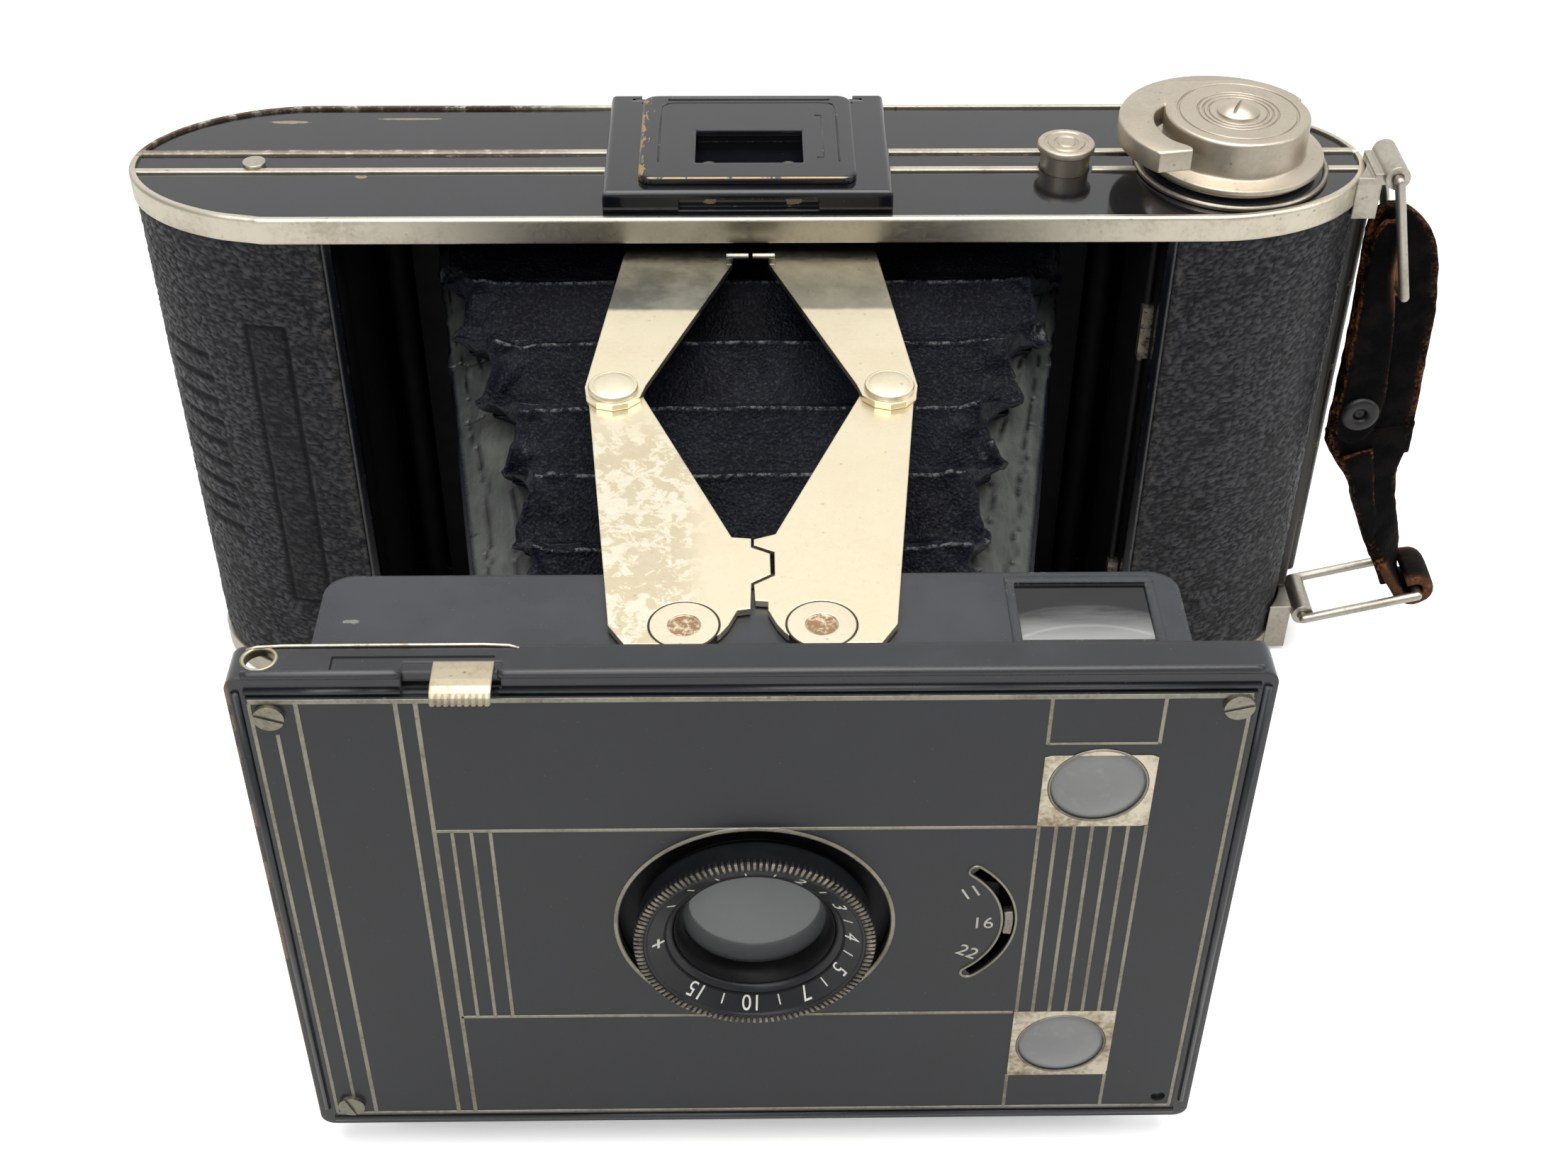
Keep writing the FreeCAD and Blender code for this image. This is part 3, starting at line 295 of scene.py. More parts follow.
# ------------------------------------------------------------------ shader building
class Value:
    """A node's output; arithmetic on it adds Math nodes."""

    def __init__(self, mat, socket):
        self.mat, self.socket = mat, socket

    def __add__(self, other):
        return self.mat.math("ADD", self, other)

    def __radd__(self, other):
        return self.mat.math("ADD", other, self)

    def __sub__(self, other):
        return self.mat.math("SUBTRACT", self, other)

    def __rsub__(self, other):
        return self.mat.math("SUBTRACT", other, self)

    def __mul__(self, other):
        return self.mat.math("MULTIPLY", self, other)

    def __abs__(self):
        return self.mat.math("ABSOLUTE", self)

    def max(self, other):
        return self.mat.math("MAXIMUM", self, other)

    def ramp(self, start, end, low=0.0, high=1.0):
        """Smooth map of start..end to low..high."""
        node = self.mat.node("ShaderNodeMapRange", interpolation_type="SMOOTHSTEP", clamp=True)
        self.mat.put(node, "Value", self)
        for key, value in (("From Min", start), ("From Max", end),
                           ("To Min", low), ("To Max", high)):
            self.mat.put(node, key, value)
        return self.mat.out(node, "Result")

    def fall(self, start, end):
        """1 up to start, 0 from end on."""
        return self.ramp(start, end, low=1.0, high=0.0)


def rgba(color):
    return color if isinstance(color, Value) else (*color, 1.0)


def gain(color, factor, lift=0.0):
    return tuple(min(1.0, c * factor + lift) for c in color)


class Material:
    """A material under construction; texture coordinates are working millimetres."""

    def __init__(self, name):
        self.material = bpy.data.materials.new(name)
        self.material.use_nodes = True
        self.tree = self.material.node_tree
        self.tree.nodes.clear()
        self.output = self.node("ShaderNodeOutputMaterial")

    def node(self, kind, **settings):
        node = self.tree.nodes.new(kind)
        for key, value in settings.items():
            setattr(node, key, value)
        return node

    def put(self, node, key, value):
        """Links or sets one input."""
        if isinstance(value, Value):
            self.tree.links.new(value.socket, node.inputs[key])
        else:
            node.inputs[key].default_value = value

    def out(self, node, key=0):
        return Value(self, node.outputs[key])

    @cached_property
    def position(self):
        coords = self.node("ShaderNodeTexCoord")
        mapping = self.node("ShaderNodeMapping", vector_type="POINT")
        self.put(mapping, "Scale", (1000, 1000, 1000))
        self.put(mapping, "Location", (0, ORIGIN_Y, 0))
        self.put(mapping, "Vector", self.out(coords, "Object"))
        return self.out(mapping, "Vector")

    def math(self, operation, first, second=None, clamp=False):
        node = self.node("ShaderNodeMath", operation=operation, use_clamp=clamp)
        self.put(node, 0, first)
        if second is not None:
            self.put(node, 1, second)
        return self.out(node)

    def vector_math(self, operation, first, second=None):
        node = self.node("ShaderNodeVectorMath", operation=operation)
        self.put(node, 0, first)
        if second is not None:
            self.put(node, 1, second)
        return self.out(node, "Value" if operation in ("DOT_PRODUCT", "LENGTH") else "Vector")

    def stretched(self, x, y, z):
        return self.vector_math("MULTIPLY", self.position, (x, y, z))

    def distance(self, center, axes=(1, 1, 1)):
        """Distance from center; a 0 in axes drops that direction."""
        offset = self.vector_math("SUBTRACT", self.position, center)
        return self.vector_math("LENGTH", self.vector_math("MULTIPLY", offset, axes))

    def noise(self, scale, detail=3, rough=0.55, vector=None, distortion=0.0):
        node = self.node("ShaderNodeTexNoise")
        self.put(node, "Vector", vector or self.position)
        self.put(node, "Scale", scale)
        self.put(node, "Detail", detail)
        self.put(node, "Roughness", rough)
        self.put(node, "Distortion", distortion)
        return self.out(node, "Fac")

    def voronoi(self, scale, vector=None, feature="F1"):
        node = self.node("ShaderNodeTexVoronoi", feature=feature)
        self.put(node, "Vector", vector or self.position)
        self.put(node, "Scale", scale)
        self.put(node, "Randomness", 1.0)
        return self.out(node, "Distance")

    def mix(self, factor, first, second):
        """Blend of two colours."""
        node = self.node("ShaderNodeMix", data_type="RGBA")
        self.put(node, 0, factor)
        self.put(node, 6, rgba(first))
        self.put(node, 7, rgba(second))
        return self.out(node, 2)

    def mix_value(self, factor, first, second):
        node = self.node("ShaderNodeMix", data_type="FLOAT")
        self.put(node, 0, factor)
        self.put(node, 2, first)
        self.put(node, 3, second)
        return self.out(node)

    def xyz(self):
        node = self.node("ShaderNodeSeparateXYZ")
        self.put(node, 0, self.position)
        return [self.out(node, i) for i in range(3)]

    def attribute(self, name):
        return self.out(self.node("ShaderNodeAttribute", attribute_name=name), "Fac")

    def soft_normal(self, radius):
        node = self.node("ShaderNodeBevel", samples=4)
        self.put(node, "Radius", radius)
        return self.out(node)

    def edges(self, radius, start, end):
        """Soft normal, and a mask that is 1 on edges."""
        soft = self.soft_normal(radius)
        normal = self.out(self.node("ShaderNodeNewGeometry"), "Normal")
        facing = self.vector_math("DOT_PRODUCT", soft, normal)
        return soft, (1.0 - facing).ramp(start=start, end=end)

    def bump(self, height, distance, strength, normal=None):
        node = self.node("ShaderNodeBump")
        self.put(node, "Height", height)
        self.put(node, "Distance", distance)
        self.put(node, "Strength", strength)
        if normal is not None:
            self.put(node, "Normal", normal)
        return self.out(node)

    def surface(self, color, rough, metallic=0.0, normal=None, spec=0.5, coat=0.0,
                coat_rough=0.05, transmission=0.0, sheen=0.0):
        node = self.node("ShaderNodeBsdfPrincipled")
        for key, value in (
                ("Base Color", rgba(color)), ("Roughness", rough), ("Metallic", metallic),
                ("Specular IOR Level", spec), ("Coat Weight", coat),
                ("Coat Roughness", coat_rough), ("Transmission Weight", transmission),
                ("IOR", 1.5), ("Sheen Weight", sheen)):
            self.put(node, key, value)
        if normal is not None:
            self.put(node, "Normal", normal)
        return self.out(node)

    def finish(self, shader):
        self.put(self.output, "Surface", shader)
        return self.material


# ------------------------------------------------------------------ kinds of finish
def nickel(name, base=(0.50, 0.465, 0.395), dark=(0.20, 0.165, 0.115),
           bright=(0.72, 0.69, 0.62), rough=0.34, patina=0.5, brush=(0.2, 0.2, 4.0),
           edge=0.0003, overlay=None, brown=None):
    """Plated metal: cloudy tarnish, dark specks, brushed hairlines and bright edges."""
    mat = Material(name)
    soft, edges = mat.edges(radius=edge, start=0.02, end=0.30)
    cloud = mat.noise(scale=0.12, detail=4, rough=0.6)
    fine = mat.noise(scale=1.6, detail=4, rough=0.65)
    specks = mat.voronoi(scale=0.75).fall(start=0.10, end=0.22)
    specks = specks * mat.noise(scale=0.35, detail=2).ramp(start=0.52, end=0.66)
    tarnish = (cloud * 0.65 + fine * 0.35).ramp(start=0.42, end=0.68) * patina
    color = mat.mix(tarnish, base, dark)
    color = mat.mix(specks * (0.55 * min(1.0, patina * 1.6)), color, (0.10, 0.07, 0.045))
    color = mat.mix(edges * 0.5, color, bright)
    stain = 0.0
    if brown is not None:
        stain = brown(mat) * mat.noise(scale=0.5, detail=5, rough=0.7).ramp(start=0.30, end=0.52)
        color = mat.mix(stain, color, (0.075, 0.042, 0.022))
    if overlay is not None:
        color = overlay(mat, color)
    hairlines = mat.noise(scale=1.0, detail=3, rough=0.6, vector=mat.stretched(*brush))
    roughness = fine * 0.16 + (rough - 0.08 + tarnish * 0.18)
    roughness = mat.math("ADD", roughness, mat.math("MULTIPLY", stain, 0.25), clamp=True)
    height = hairlines * 0.35 + (fine * 0.35 + specks * -0.8)
    metallic = 1.0 - mat.math("MULTIPLY", stain, 0.7)
    normal = mat.bump(height, distance=0.00004, strength=0.35, normal=soft)
    return mat.finish(mat.surface(color, roughness, metallic, normal))


def enamel(name, base=(0.0045, 0.0050, 0.0068), rough=0.09, chips=0.35,
           worn=(0.46, 0.38, 0.26), spots=(), spec=0.5, edge=0.0004, dusty=0.35, coat=0.25,
           zone=None, extra_wear=None):
    """Gloss black enamel rubbed through to metal at edges, at spots and by extra_wear.

    spots are (centre, radius, fade width, axis weights, strength); zone limits the edge wear.
    """
    mat = Material(name)
    soft, edges = mat.edges(radius=edge, start=0.03, end=0.34)
    ragged = mat.noise(scale=0.55, detail=5, rough=0.68)
    fine = mat.noise(scale=2.6, detail=4, rough=0.7)
    wear = edges * (ragged * 0.7 + fine * 0.3).ramp(
        start=0.60 - 0.22 * chips, end=0.66 - 0.18 * chips)
    if zone is not None:
        wear = mat.math("MULTIPLY", wear, zone(mat), clamp=True)
    for center, radius, fade, axes, strength in spots:
        near = mat.distance(center, axes).fall(start=radius, end=radius + fade)
        patch = (mat.noise(scale=1.1, detail=5, rough=0.75) - 0.5) * 1.5
        patch = patch + near * (strength + 0.45)
        wear = wear.max(patch.ramp(start=0.50, end=0.56))
    if extra_wear is not None:
        wear = wear.max(extra_wear(mat))
    haze = mat.noise(scale=0.09, detail=4, rough=0.6).ramp(start=0.38, end=0.7)
    dust = (mat.voronoi(scale=1.15).fall(start=0.045, end=0.10)
            * mat.noise(scale=0.8, detail=2).ramp(start=0.5, end=0.62))
    color = mat.mix(haze * 0.35, base, gain(base, 1.9))
    color = mat.mix(dust * dusty, color, (0.16, 0.16, 0.155))
    color = mat.mix(wear, color, mat.mix(fine, worn, gain(worn, 0.55)))
    roughness = mat.mix_value(wear, rough + haze * 0.10, 0.42)
    height = mat.noise(scale=0.35, detail=3) * 0.25 + wear * -0.9
    height = height + dust * 0.3
    normal = mat.bump(height, distance=0.00005, strength=0.5, normal=soft)
    return mat.finish(mat.surface(color, roughness, wear * 0.85, normal, spec=spec,
                                  coat=(1.0 - wear) * coat))


def plain(name, base, rough, variation=0.35, bump=0.25, spec=0.4):
    """Matt or satin finish with mottling, lighter edges and fine bump."""
    mat = Material(name)
    soft, edges = mat.edges(radius=0.00025, start=0.04, end=0.35)
    mottle = mat.noise(scale=0.3, detail=4, rough=0.6)
    fine = mat.noise(scale=2.4, detail=4, rough=0.65)
    color = mat.mix(mottle.ramp(start=0.35, end=0.7) * variation, base, gain(base, 1.8, 0.004))
    color = mat.mix(edges * 0.35, color, gain(base, 2.5, 0.02))
    normal = mat.bump(fine, distance=0.00006, strength=bump, normal=soft)
    return mat.finish(mat.surface(color, rough - 0.06 + fine * 0.14, normal=normal, spec=spec))


# ------------------------------------------------------------------ leathers
def leatherette():
    """Black covering; the mesh has the large grain, this adds fine grain and rubbed tops."""
    mat = Material("leatherette")
    grain = mat.attribute("grain")
    fine = mat.noise(scale=4.5, detail=3, rough=0.6)
    pores = mat.voronoi(scale=3.2)
    clouds = mat.noise(scale=0.06, detail=4, rough=0.6)
    color = mat.mix(grain.ramp(start=0.15, end=1.0),
                    (0.0048, 0.0051, 0.0064), (0.0205, 0.0215, 0.0250))
    color = mat.mix(clouds.ramp(start=0.45, end=0.72) * 0.35, color, (0.020, 0.021, 0.024))
    rub = mat.attribute("rub") * mat.noise(scale=0.7, detail=5, rough=0.7).ramp(
        start=0.44, end=0.6)
    color = mat.mix(rub, color, (0.085, 0.080, 0.072))
    normal = mat.bump(fine * 0.5 + pores * 0.6, distance=0.00007, strength=0.7)
    return mat.finish(mat.surface(color, 0.56 - grain * 0.20, normal=normal,
                                  spec=0.12 + grain * 0.33, sheen=0.02))


def bellows_leather():
    """Blue-black leather with greyer bands, creases lightened by wear and painted glints, and dark
    cracks.
    """
    mat = Material("bellows_leather")
    wear, band, crack = [mat.attribute(key) for key in ("wear", "band", "crack")]
    fine = mat.noise(scale=2.3, detail=4, rough=0.65)
    grain = mat.voronoi(scale=2.7)
    clouds = mat.noise(scale=0.10, detail=4, rough=0.6)
    color = mat.mix(clouds.ramp(start=0.35, end=0.7),
                    (0.0020, 0.0025, 0.0048), (0.0055, 0.0064, 0.0105))
    color = mat.mix(fine.ramp(start=0.50, end=0.70) * 0.22, color, (0.021, 0.023, 0.030))
    streaks = mat.noise(scale=0.22, detail=5, rough=0.7, vector=mat.stretched(1.2, 0.25, 1.2))
    band_color = mat.mix(streaks.ramp(start=0.35, end=0.68),
                         (0.026, 0.029, 0.028), (0.060, 0.064, 0.058))
    color = mat.mix(band, color, band_color)
    # Lightening from the wear layer: partly real wear, partly painted glints on creases and
    # crumples.
    worn = wear.ramp(start=0.45, end=0.95) * mat.noise(
        scale=1.3, detail=5, rough=0.8).ramp(start=0.46, end=0.60)
    color = mat.mix(worn * 0.75, color, (0.15, 0.155, 0.15))
    color = mat.mix(crack, color, (0.003, 0.003, 0.0035))
    roughness = mat.mix_value(band, 0.22 + fine * 0.25, 0.34)
    height = (fine * 0.6 + grain * 0.5) * mat.mix_value(band, 1.0, 0.25)
    normal = mat.bump(height - crack * 1.2, distance=0.00016, strength=0.85)
    spec = mat.mix_value(band, 0.045 + fine.ramp(start=0.45, end=0.7) * 0.08, 0.34)
    return mat.finish(mat.surface(color, roughness, normal=normal, spec=spec))


def strap_leather():
    """Near-black leather rubbed to brown at its edges; suede marks the flesh side."""
    mat = Material("strap_leather")
    edge, suede = mat.attribute("wear"), mat.attribute("suede")
    fine = mat.noise(scale=1.9, detail=5, rough=0.7)
    cracks = mat.voronoi(scale=0.55, vector=mat.stretched(1.0, 1.0, 0.55),
                         feature="DISTANCE_TO_EDGE")
    clouds = mat.noise(scale=0.25, detail=4, rough=0.65)
    color = mat.mix(clouds.ramp(start=0.42, end=0.72),
                    (0.0014, 0.0013, 0.0015), (0.0062, 0.0050, 0.0044))
    patches = fine * 0.55 + mat.noise(scale=0.16, detail=3) * 0.45
    worn = edge.ramp(start=0.18, end=0.85) * patches.ramp(start=0.47, end=0.62)
    brown = mat.mix(fine.ramp(start=0.35, end=0.65), (0.045, 0.017, 0.007), (0.175, 0.068, 0.024))
    color = mat.mix(worn, color, brown)
    color = mat.mix(suede, color, mat.mix(fine, (0.30, 0.13, 0.055), (0.16, 0.07, 0.03)))
    height = fine * 0.9 + cracks.ramp(start=0.0, end=0.10) * 0.12
    normal = mat.bump(height, distance=0.00016, strength=0.75)
    return mat.finish(mat.surface(color, 0.50 + worn * 0.35, normal=normal, spec=0.03,
                                  sheen=suede * 0.2))


# ------------------------------------------------------------------ glass
def lens_glass():
    mat = Material("lens_glass")
    haze = (0.086, 0.089, 0.090)
    clear = mat.surface((0.80, 0.83, 0.84), rough=0.03, transmission=1.0)
    dust = mat.noise(scale=0.16, detail=3, rough=0.5)
    film = mat.surface(mat.mix(dust, haze, gain(haze, 1.15)), rough=0.12, spec=0.6,
                       coat=0.6, coat_rough=0.03)
    mixer = mat.node("ShaderNodeMixShader")
    cover = mat.math("ADD", 0.94, dust.ramp(start=0.45, end=0.7) * 0.03, clamp=True)
    mat.put(mixer, 0, cover)
    mat.put(mixer, 1, clear)
    mat.put(mixer, 2, film)
    return mat.finish(mat.out(mixer))


def finder_glass():
    """Milky windows with painted sheen in front; painted light in the roof window, dark at the
    back, pale arcs.
    """
    mat = Material("finder_glass")
    _, y, z = mat.xyz()
    roof = z.ramp(start=70.5, end=71.5)
    dust = mat.noise(scale=0.8, detail=5, rough=0.7)
    # Painted light seen in the roof window: brighter towards its front, with a pale arc and
    # streaks, inside a disc.
    radius = mat.distance((34.6, -86.5, 0), (1, 1, 0))
    disc = radius.fall(start=17.6, end=18.1)
    arc = abs(radius - 14.6).fall(start=0.0, end=0.35)
    glow = y.ramp(start=-69.0, end=-74.8, low=0.02, high=0.30) + arc * 0.07
    streaks = mat.noise(scale=0.35, detail=4, rough=0.6, vector=mat.stretched(0.3, 2.0, 1.0))
    glow = mat.math("ADD", glow, (streaks - 0.5) * 0.16, clamp=True)
    glow = glow * mat.mix_value(disc, 0.05, 1.0)
    roof_painted_light = mat.mix(glow, (0.004, 0.004, 0.0045), (0.80, 0.82, 0.80))
    # Painted sheen on the front windows: lighter towards glancing angles, over a milky grey with
    # dust.
    weight = mat.node("ShaderNodeLayerWeight")
    mat.put(weight, "Blend", 0.35)
    front_milk_and_sheen = mat.mix(mat.out(weight, "Facing").ramp(start=0.2, end=0.75),
                          (0.185, 0.186, 0.182), (0.30, 0.305, 0.30))
    front_milk_and_sheen = mat.mix(dust.ramp(start=0.5, end=0.75) * 0.3, front_milk_and_sheen, (0.30, 0.30, 0.29))
    color = mat.mix(roof, front_milk_and_sheen, roof_painted_light)
    normal = mat.bump(dust, distance=0.00003, strength=0.2)
    return mat.finish(mat.surface(color, mat.mix_value(roof, 0.24, 0.08), normal=normal,
                                  spec=0.55))


# ------------------------------------------------------------------ local wear
def stay_overlay(mat, color):
    """Dim zones near the body, pale blotches at the left, rings on the elbow rivets."""
    x, y, z = mat.xyz()
    strength = x.ramp(start=-2.0, end=2.0, low=0.95, high=0.72)
    zone = (y + mat.noise(scale=0.12, detail=3) * 2.0).ramp(start=-13.6, end=-12.6)
    dim = mat.mix(mat.noise(scale=0.14, detail=4, rough=0.6).ramp(start=0.35, end=0.65),
                  (0.135, 0.140, 0.125), (0.33, 0.32, 0.27))
    color = mat.mix(zone * strength, color, dim)
    color = mat.mix(y.ramp(start=-3.5, end=0.5) * 0.75, color, (0.12, 0.105, 0.08))
    left = x.ramp(start=-4.0, end=-8.5) * y.ramp(start=-32.0, end=-44.0)
    blotch = mat.noise(scale=0.55, detail=6, rough=0.72, distortion=0.6) * 0.75
    blotch = (blotch + mat.noise(scale=0.16, detail=3) * 0.3).ramp(start=0.525, end=0.585)
    pale = mat.mix(mat.noise(scale=1.2, detail=4), (0.99, 0.95, 0.84), (0.86, 0.78, 0.60))
    color = mat.mix(left * blotch * 0.75, color, pale)
    between = left * blotch.fall(start=0.0, end=0.2) * 0.42
    color = mat.mix(between, color, (0.52, 0.43, 0.27))
    for side in (-1, 1):
        radius = mat.distance((side * ELBOW_X, ELBOW_Y, 0), (1, 1, 0))
        ring = abs(radius - 1.55).fall(start=0.0, end=0.16) * z.ramp(start=77.3, end=77.45)
        color = mat.mix(ring * 0.35, color, (0.20, 0.17, 0.12))
    return color


def pivot_overlay(mat, color):
    """Rusty cores and dark rims on the heads of the front pivots."""
    z = mat.xyz()[2]
    for side in (-1, 1):
        radius = mat.distance((side * PIVOT_X, PIVOT_Y, 0), (1, 1, 0))
        core = (radius + mat.noise(scale=1.1, detail=3) * 0.7).fall(start=1.85, end=2.15)
        core = core * abs(z - MID_Z).ramp(start=34.5, end=34.9)
        rust = mat.mix(mat.noise(scale=1.7, detail=5, rough=0.7).ramp(start=0.47, end=0.62),
                       (0.30, 0.16, 0.06), (0.72, 0.62, 0.46))
        color = mat.mix(core * 0.9, color, rust)
        rim = abs(radius - 3.62).fall(start=0.06, end=0.15)
        color = mat.mix(rim * 0.95, color, (0.045, 0.034, 0.024))
    return color


def back_left(mat):
    x, y, _ = mat.xyz()
    return x.ramp(start=-18.0, end=-34.0) * y.ramp(start=16.0, end=19.0)


def plate_zone(mat):
    """Wear on the finder plate's left and front edges, little elsewhere."""
    x, y, _ = mat.xyz()
    left = x.ramp(start=-12.6, end=-13.9)
    front = y.ramp(start=4.6, end=3.4) * x.ramp(start=9.0, end=13.0, low=0.8, high=0.25)
    return (left * 1.0).max(front.max(0.12))


def plate_wear(mat):
    """Ragged brass along the plate's left edge and a thin line along its front edge."""
    x, y, z = mat.xyz()
    ragged = mat.noise(scale=1.0, detail=5, rough=0.72, vector=mat.stretched(1.3, 0.38, 1.0))
    left = x.ramp(start=-12.2, end=-14.4)
    corner = x.ramp(start=-12.0, end=-14.0) * y.ramp(start=8.5, end=4.5)
    amount = ragged + left * 0.20 + corner * 0.10
    edge = amount.ramp(start=0.70, end=0.73) * left.ramp(start=0.02, end=0.2)
    broken = mat.noise(scale=0.6, detail=4, rough=0.6, vector=mat.stretched(1.0, 0.3, 1.0))
    line = y.ramp(start=3.40, end=3.28) * z.ramp(start=85.76, end=85.82)
    return edge.max(line * broken.ramp(start=0.36, end=0.44))


def frame_zone(mat):
    """Wear on the standard's left edge and the left part of its rear edge."""
    x, y, _ = mat.xyz()
    left = x.ramp(start=-50.0, end=-51.9)
    rear = y.ramp(start=-78.5, end=-77.5) * x.ramp(start=-22.0, end=-26.0)
    return left.max(rear).max(0.10)


def frame_rust(mat):
    """Brown patches down the standard's left edge."""
    x, _, z = mat.xyz()
    patches = mat.noise(scale=0.34, detail=5, rough=0.7, vector=mat.stretched(1.0, 1.0, 0.45))
    return x.ramp(start=-51.75, end=-52.15) * (
        patches.ramp(start=0.50, end=0.54) * z.ramp(start=22.0, end=34.0))


# ------------------------------------------------------------------ two-part finishes
def knob_base_finish():
    """Black skirt with a thin plated ring at its rim."""
    mat = Material("knob_base_finish")
    soft = mat.soft_normal(radius=0.0002)
    ring = mat.distance((KNOB_X, KNOB_Y, 0), (1, 1, 0)).ramp(start=12.16, end=12.22)
    fine = mat.noise(scale=1.3, detail=4)
    color = mat.mix(ring, mat.mix(fine, (0.010, 0.011, 0.013), (0.018, 0.019, 0.022)),
                    mat.mix(fine, (0.50, 0.46, 0.38), (0.25, 0.21, 0.15)))
    normal = mat.bump(fine, distance=0.00004, strength=0.3, normal=soft)
    return mat.finish(mat.surface(color, mat.mix_value(ring, 0.16, 0.36), ring, normal))


def catch_rod_finish():
    """Blackened rod with two plated, rubbed clips."""
    mat = Material("catch_rod_finish")
    z = mat.xyz()[2]
    clip = abs(abs(z - 40.0) - 22.0).fall(start=4.2, end=4.6)
    clip = clip * mat.noise(scale=0.9, detail=4, rough=0.7).ramp(start=0.36, end=0.52)
    fine = mat.noise(scale=1.3, detail=4)
    color = mat.mix(clip, mat.mix(fine, (0.006, 0.006, 0.007), (0.014, 0.014, 0.014)),
                    mat.mix(fine, (0.34, 0.31, 0.25), (0.16, 0.13, 0.09)))
    normal = mat.bump(fine, distance=0.00005, strength=0.4)
    return mat.finish(mat.surface(color, mat.mix_value(clip, 0.6, 0.45), clip * 0.8, normal,
                                  spec=0.3))


def ring_tooth_finish():
    """Black teeth with plating showing on their tips."""
    mat = Material("ring_tooth_finish")
    fine = mat.noise(scale=1.6, detail=4, rough=0.7)
    y = mat.xyz()[1]
    radius = mat.distance((0.0, 0.0, LENS_Z), (1, 0, 1))
    tip = mat.noise(scale=0.30, detail=3).ramp(start=0.34, end=0.60, low=0.45, high=1.0)
    tip = tip * fine.ramp(start=0.36, end=0.52)
    tip = tip * (y.ramp(start=-85.5, end=-85.62)
                 * radius.ramp(start=12.2, end=12.6, low=0.35, high=1.0))
    color = mat.mix(tip, (0.008, 0.008, 0.009),
                    mat.mix(fine, (0.44, 0.40, 0.31), (0.20, 0.165, 0.115)))
    normal = mat.bump(fine, distance=0.00005, strength=0.4)
    return mat.finish(mat.surface(color, 0.48, tip * 0.7, normal, spec=0.4))


# ------------------------------------------------------------------ the finishes
NICKEL = nickel("satin_nickel")
RIM = nickel("rim_nickel", base=(0.66, 0.605, 0.49), dark=(0.34, 0.285, 0.20),
             bright=(0.85, 0.81, 0.70))
RIM_WORN = nickel("rim_nickel_worn", base=(0.64, 0.585, 0.47), dark=(0.30, 0.24, 0.16),
                  bright=(0.85, 0.81, 0.70), rough=0.36, patina=0.6, brown=back_left)
KNOB = nickel("knob_nickel", base=(0.535, 0.475, 0.385), dark=(0.34, 0.29, 0.215),
              bright=(0.74, 0.69, 0.59), rough=0.40, patina=0.4, brush=(0.6, 0.6, 3.0),
              edge=0.0002)
STAY = nickel("bright_nickel", base=(0.93, 0.83, 0.615), dark=(0.60, 0.49, 0.31),
              bright=(0.98, 0.94, 0.82), rough=0.30, patina=0.30, brush=(3.0, 0.15, 3.0),
              edge=0.00018, overlay=stay_overlay)
PIVOT = nickel("pivot_nickel", base=(0.86, 0.775, 0.60), dark=(0.52, 0.44, 0.31), rough=0.33,
               edge=0.0002, overlay=pivot_overlay)
RIVET = nickel("rivet_nickel", base=(0.80, 0.73, 0.56), dark=(0.50, 0.42, 0.28),
               bright=(0.95, 0.9, 0.78), rough=0.42, patina=0.4, edge=0.0001)
TARNISHED = nickel("tarnished_nickel", base=(0.30, 0.285, 0.225), dark=(0.15, 0.13, 0.09),
                   bright=(0.50, 0.48, 0.40), rough=0.40, patina=0.7, edge=0.0001)
DULL = nickel("dull_nickel", base=(0.27, 0.25, 0.205), dark=(0.12, 0.10, 0.07), rough=0.42,
              patina=0.8)
WORN_PLATING = nickel("worn_plating", base=(0.66, 0.60, 0.47), dark=(0.24, 0.17, 0.10),
                      bright=(0.86, 0.82, 0.70), rough=0.36, patina=0.95, edge=0.0001)
SPRING = nickel("spring_steel", base=(0.36, 0.37, 0.39), dark=(0.20, 0.20, 0.21), rough=0.30,
                patina=0.3)
LEVER = nickel("lever_plating", base=(0.47, 0.415, 0.305), dark=(0.27, 0.215, 0.13),
               bright=(0.70, 0.65, 0.52), rough=0.42, patina=0.9, edge=0.0002)

# Rubbed spots: centre, radius, fade width, axis weights, strength.
TOP_SPOTS = [((-63.3, 27.0, 81.6), 0.35, 1.1, (0.30, 2.2, 0), 0.52),
             ((-47.0, 27.9, 81.6), 0.40, 1.0, (0.20, 3.4, 0), 0.54),
             ((-51.3, 11.5, 81.6), 0.1, 0.9, (0.6, 1.3, 0), 0.56)]
FINDER_SPOTS = [((-5.2, 1.2, 83.1), 0.3, 1.0, (0.8, 0.3, 1.6), 0.46),
                ((5.6, 1.2, 83.1), 0.4, 1.2, (0.8, 0.3, 1.6), 0.46)]
BOX_SPOTS = [((-41.6, -70.9, 75.2), 0.0, 1.3, (0.62, 1.5, 0), 0.30)]
ENAMEL = enamel("black_enamel", spots=TOP_SPOTS)
FINDER = enamel("finder_enamel", spots=FINDER_SPOTS, rough=0.10, chips=0.25)
FINDER_PLATE = enamel("finder_plate_enamel", rough=0.12, chips=0.15, worn=(0.44, 0.31, 0.15),
                      zone=plate_zone, extra_wear=plate_wear)
STANDARD = enamel("standard_enamel", base=(0.0118, 0.0128, 0.0158), rough=0.20, chips=1.0,
                  worn=(0.30, 0.215, 0.13), edge=0.0006, zone=frame_zone,
                  extra_wear=frame_rust)
BOX = enamel("box_enamel", base=(0.017, 0.0185, 0.0225), rough=0.24, chips=0.2,
             worn=(0.30, 0.30, 0.29), edge=0.0008, spots=BOX_SPOTS)
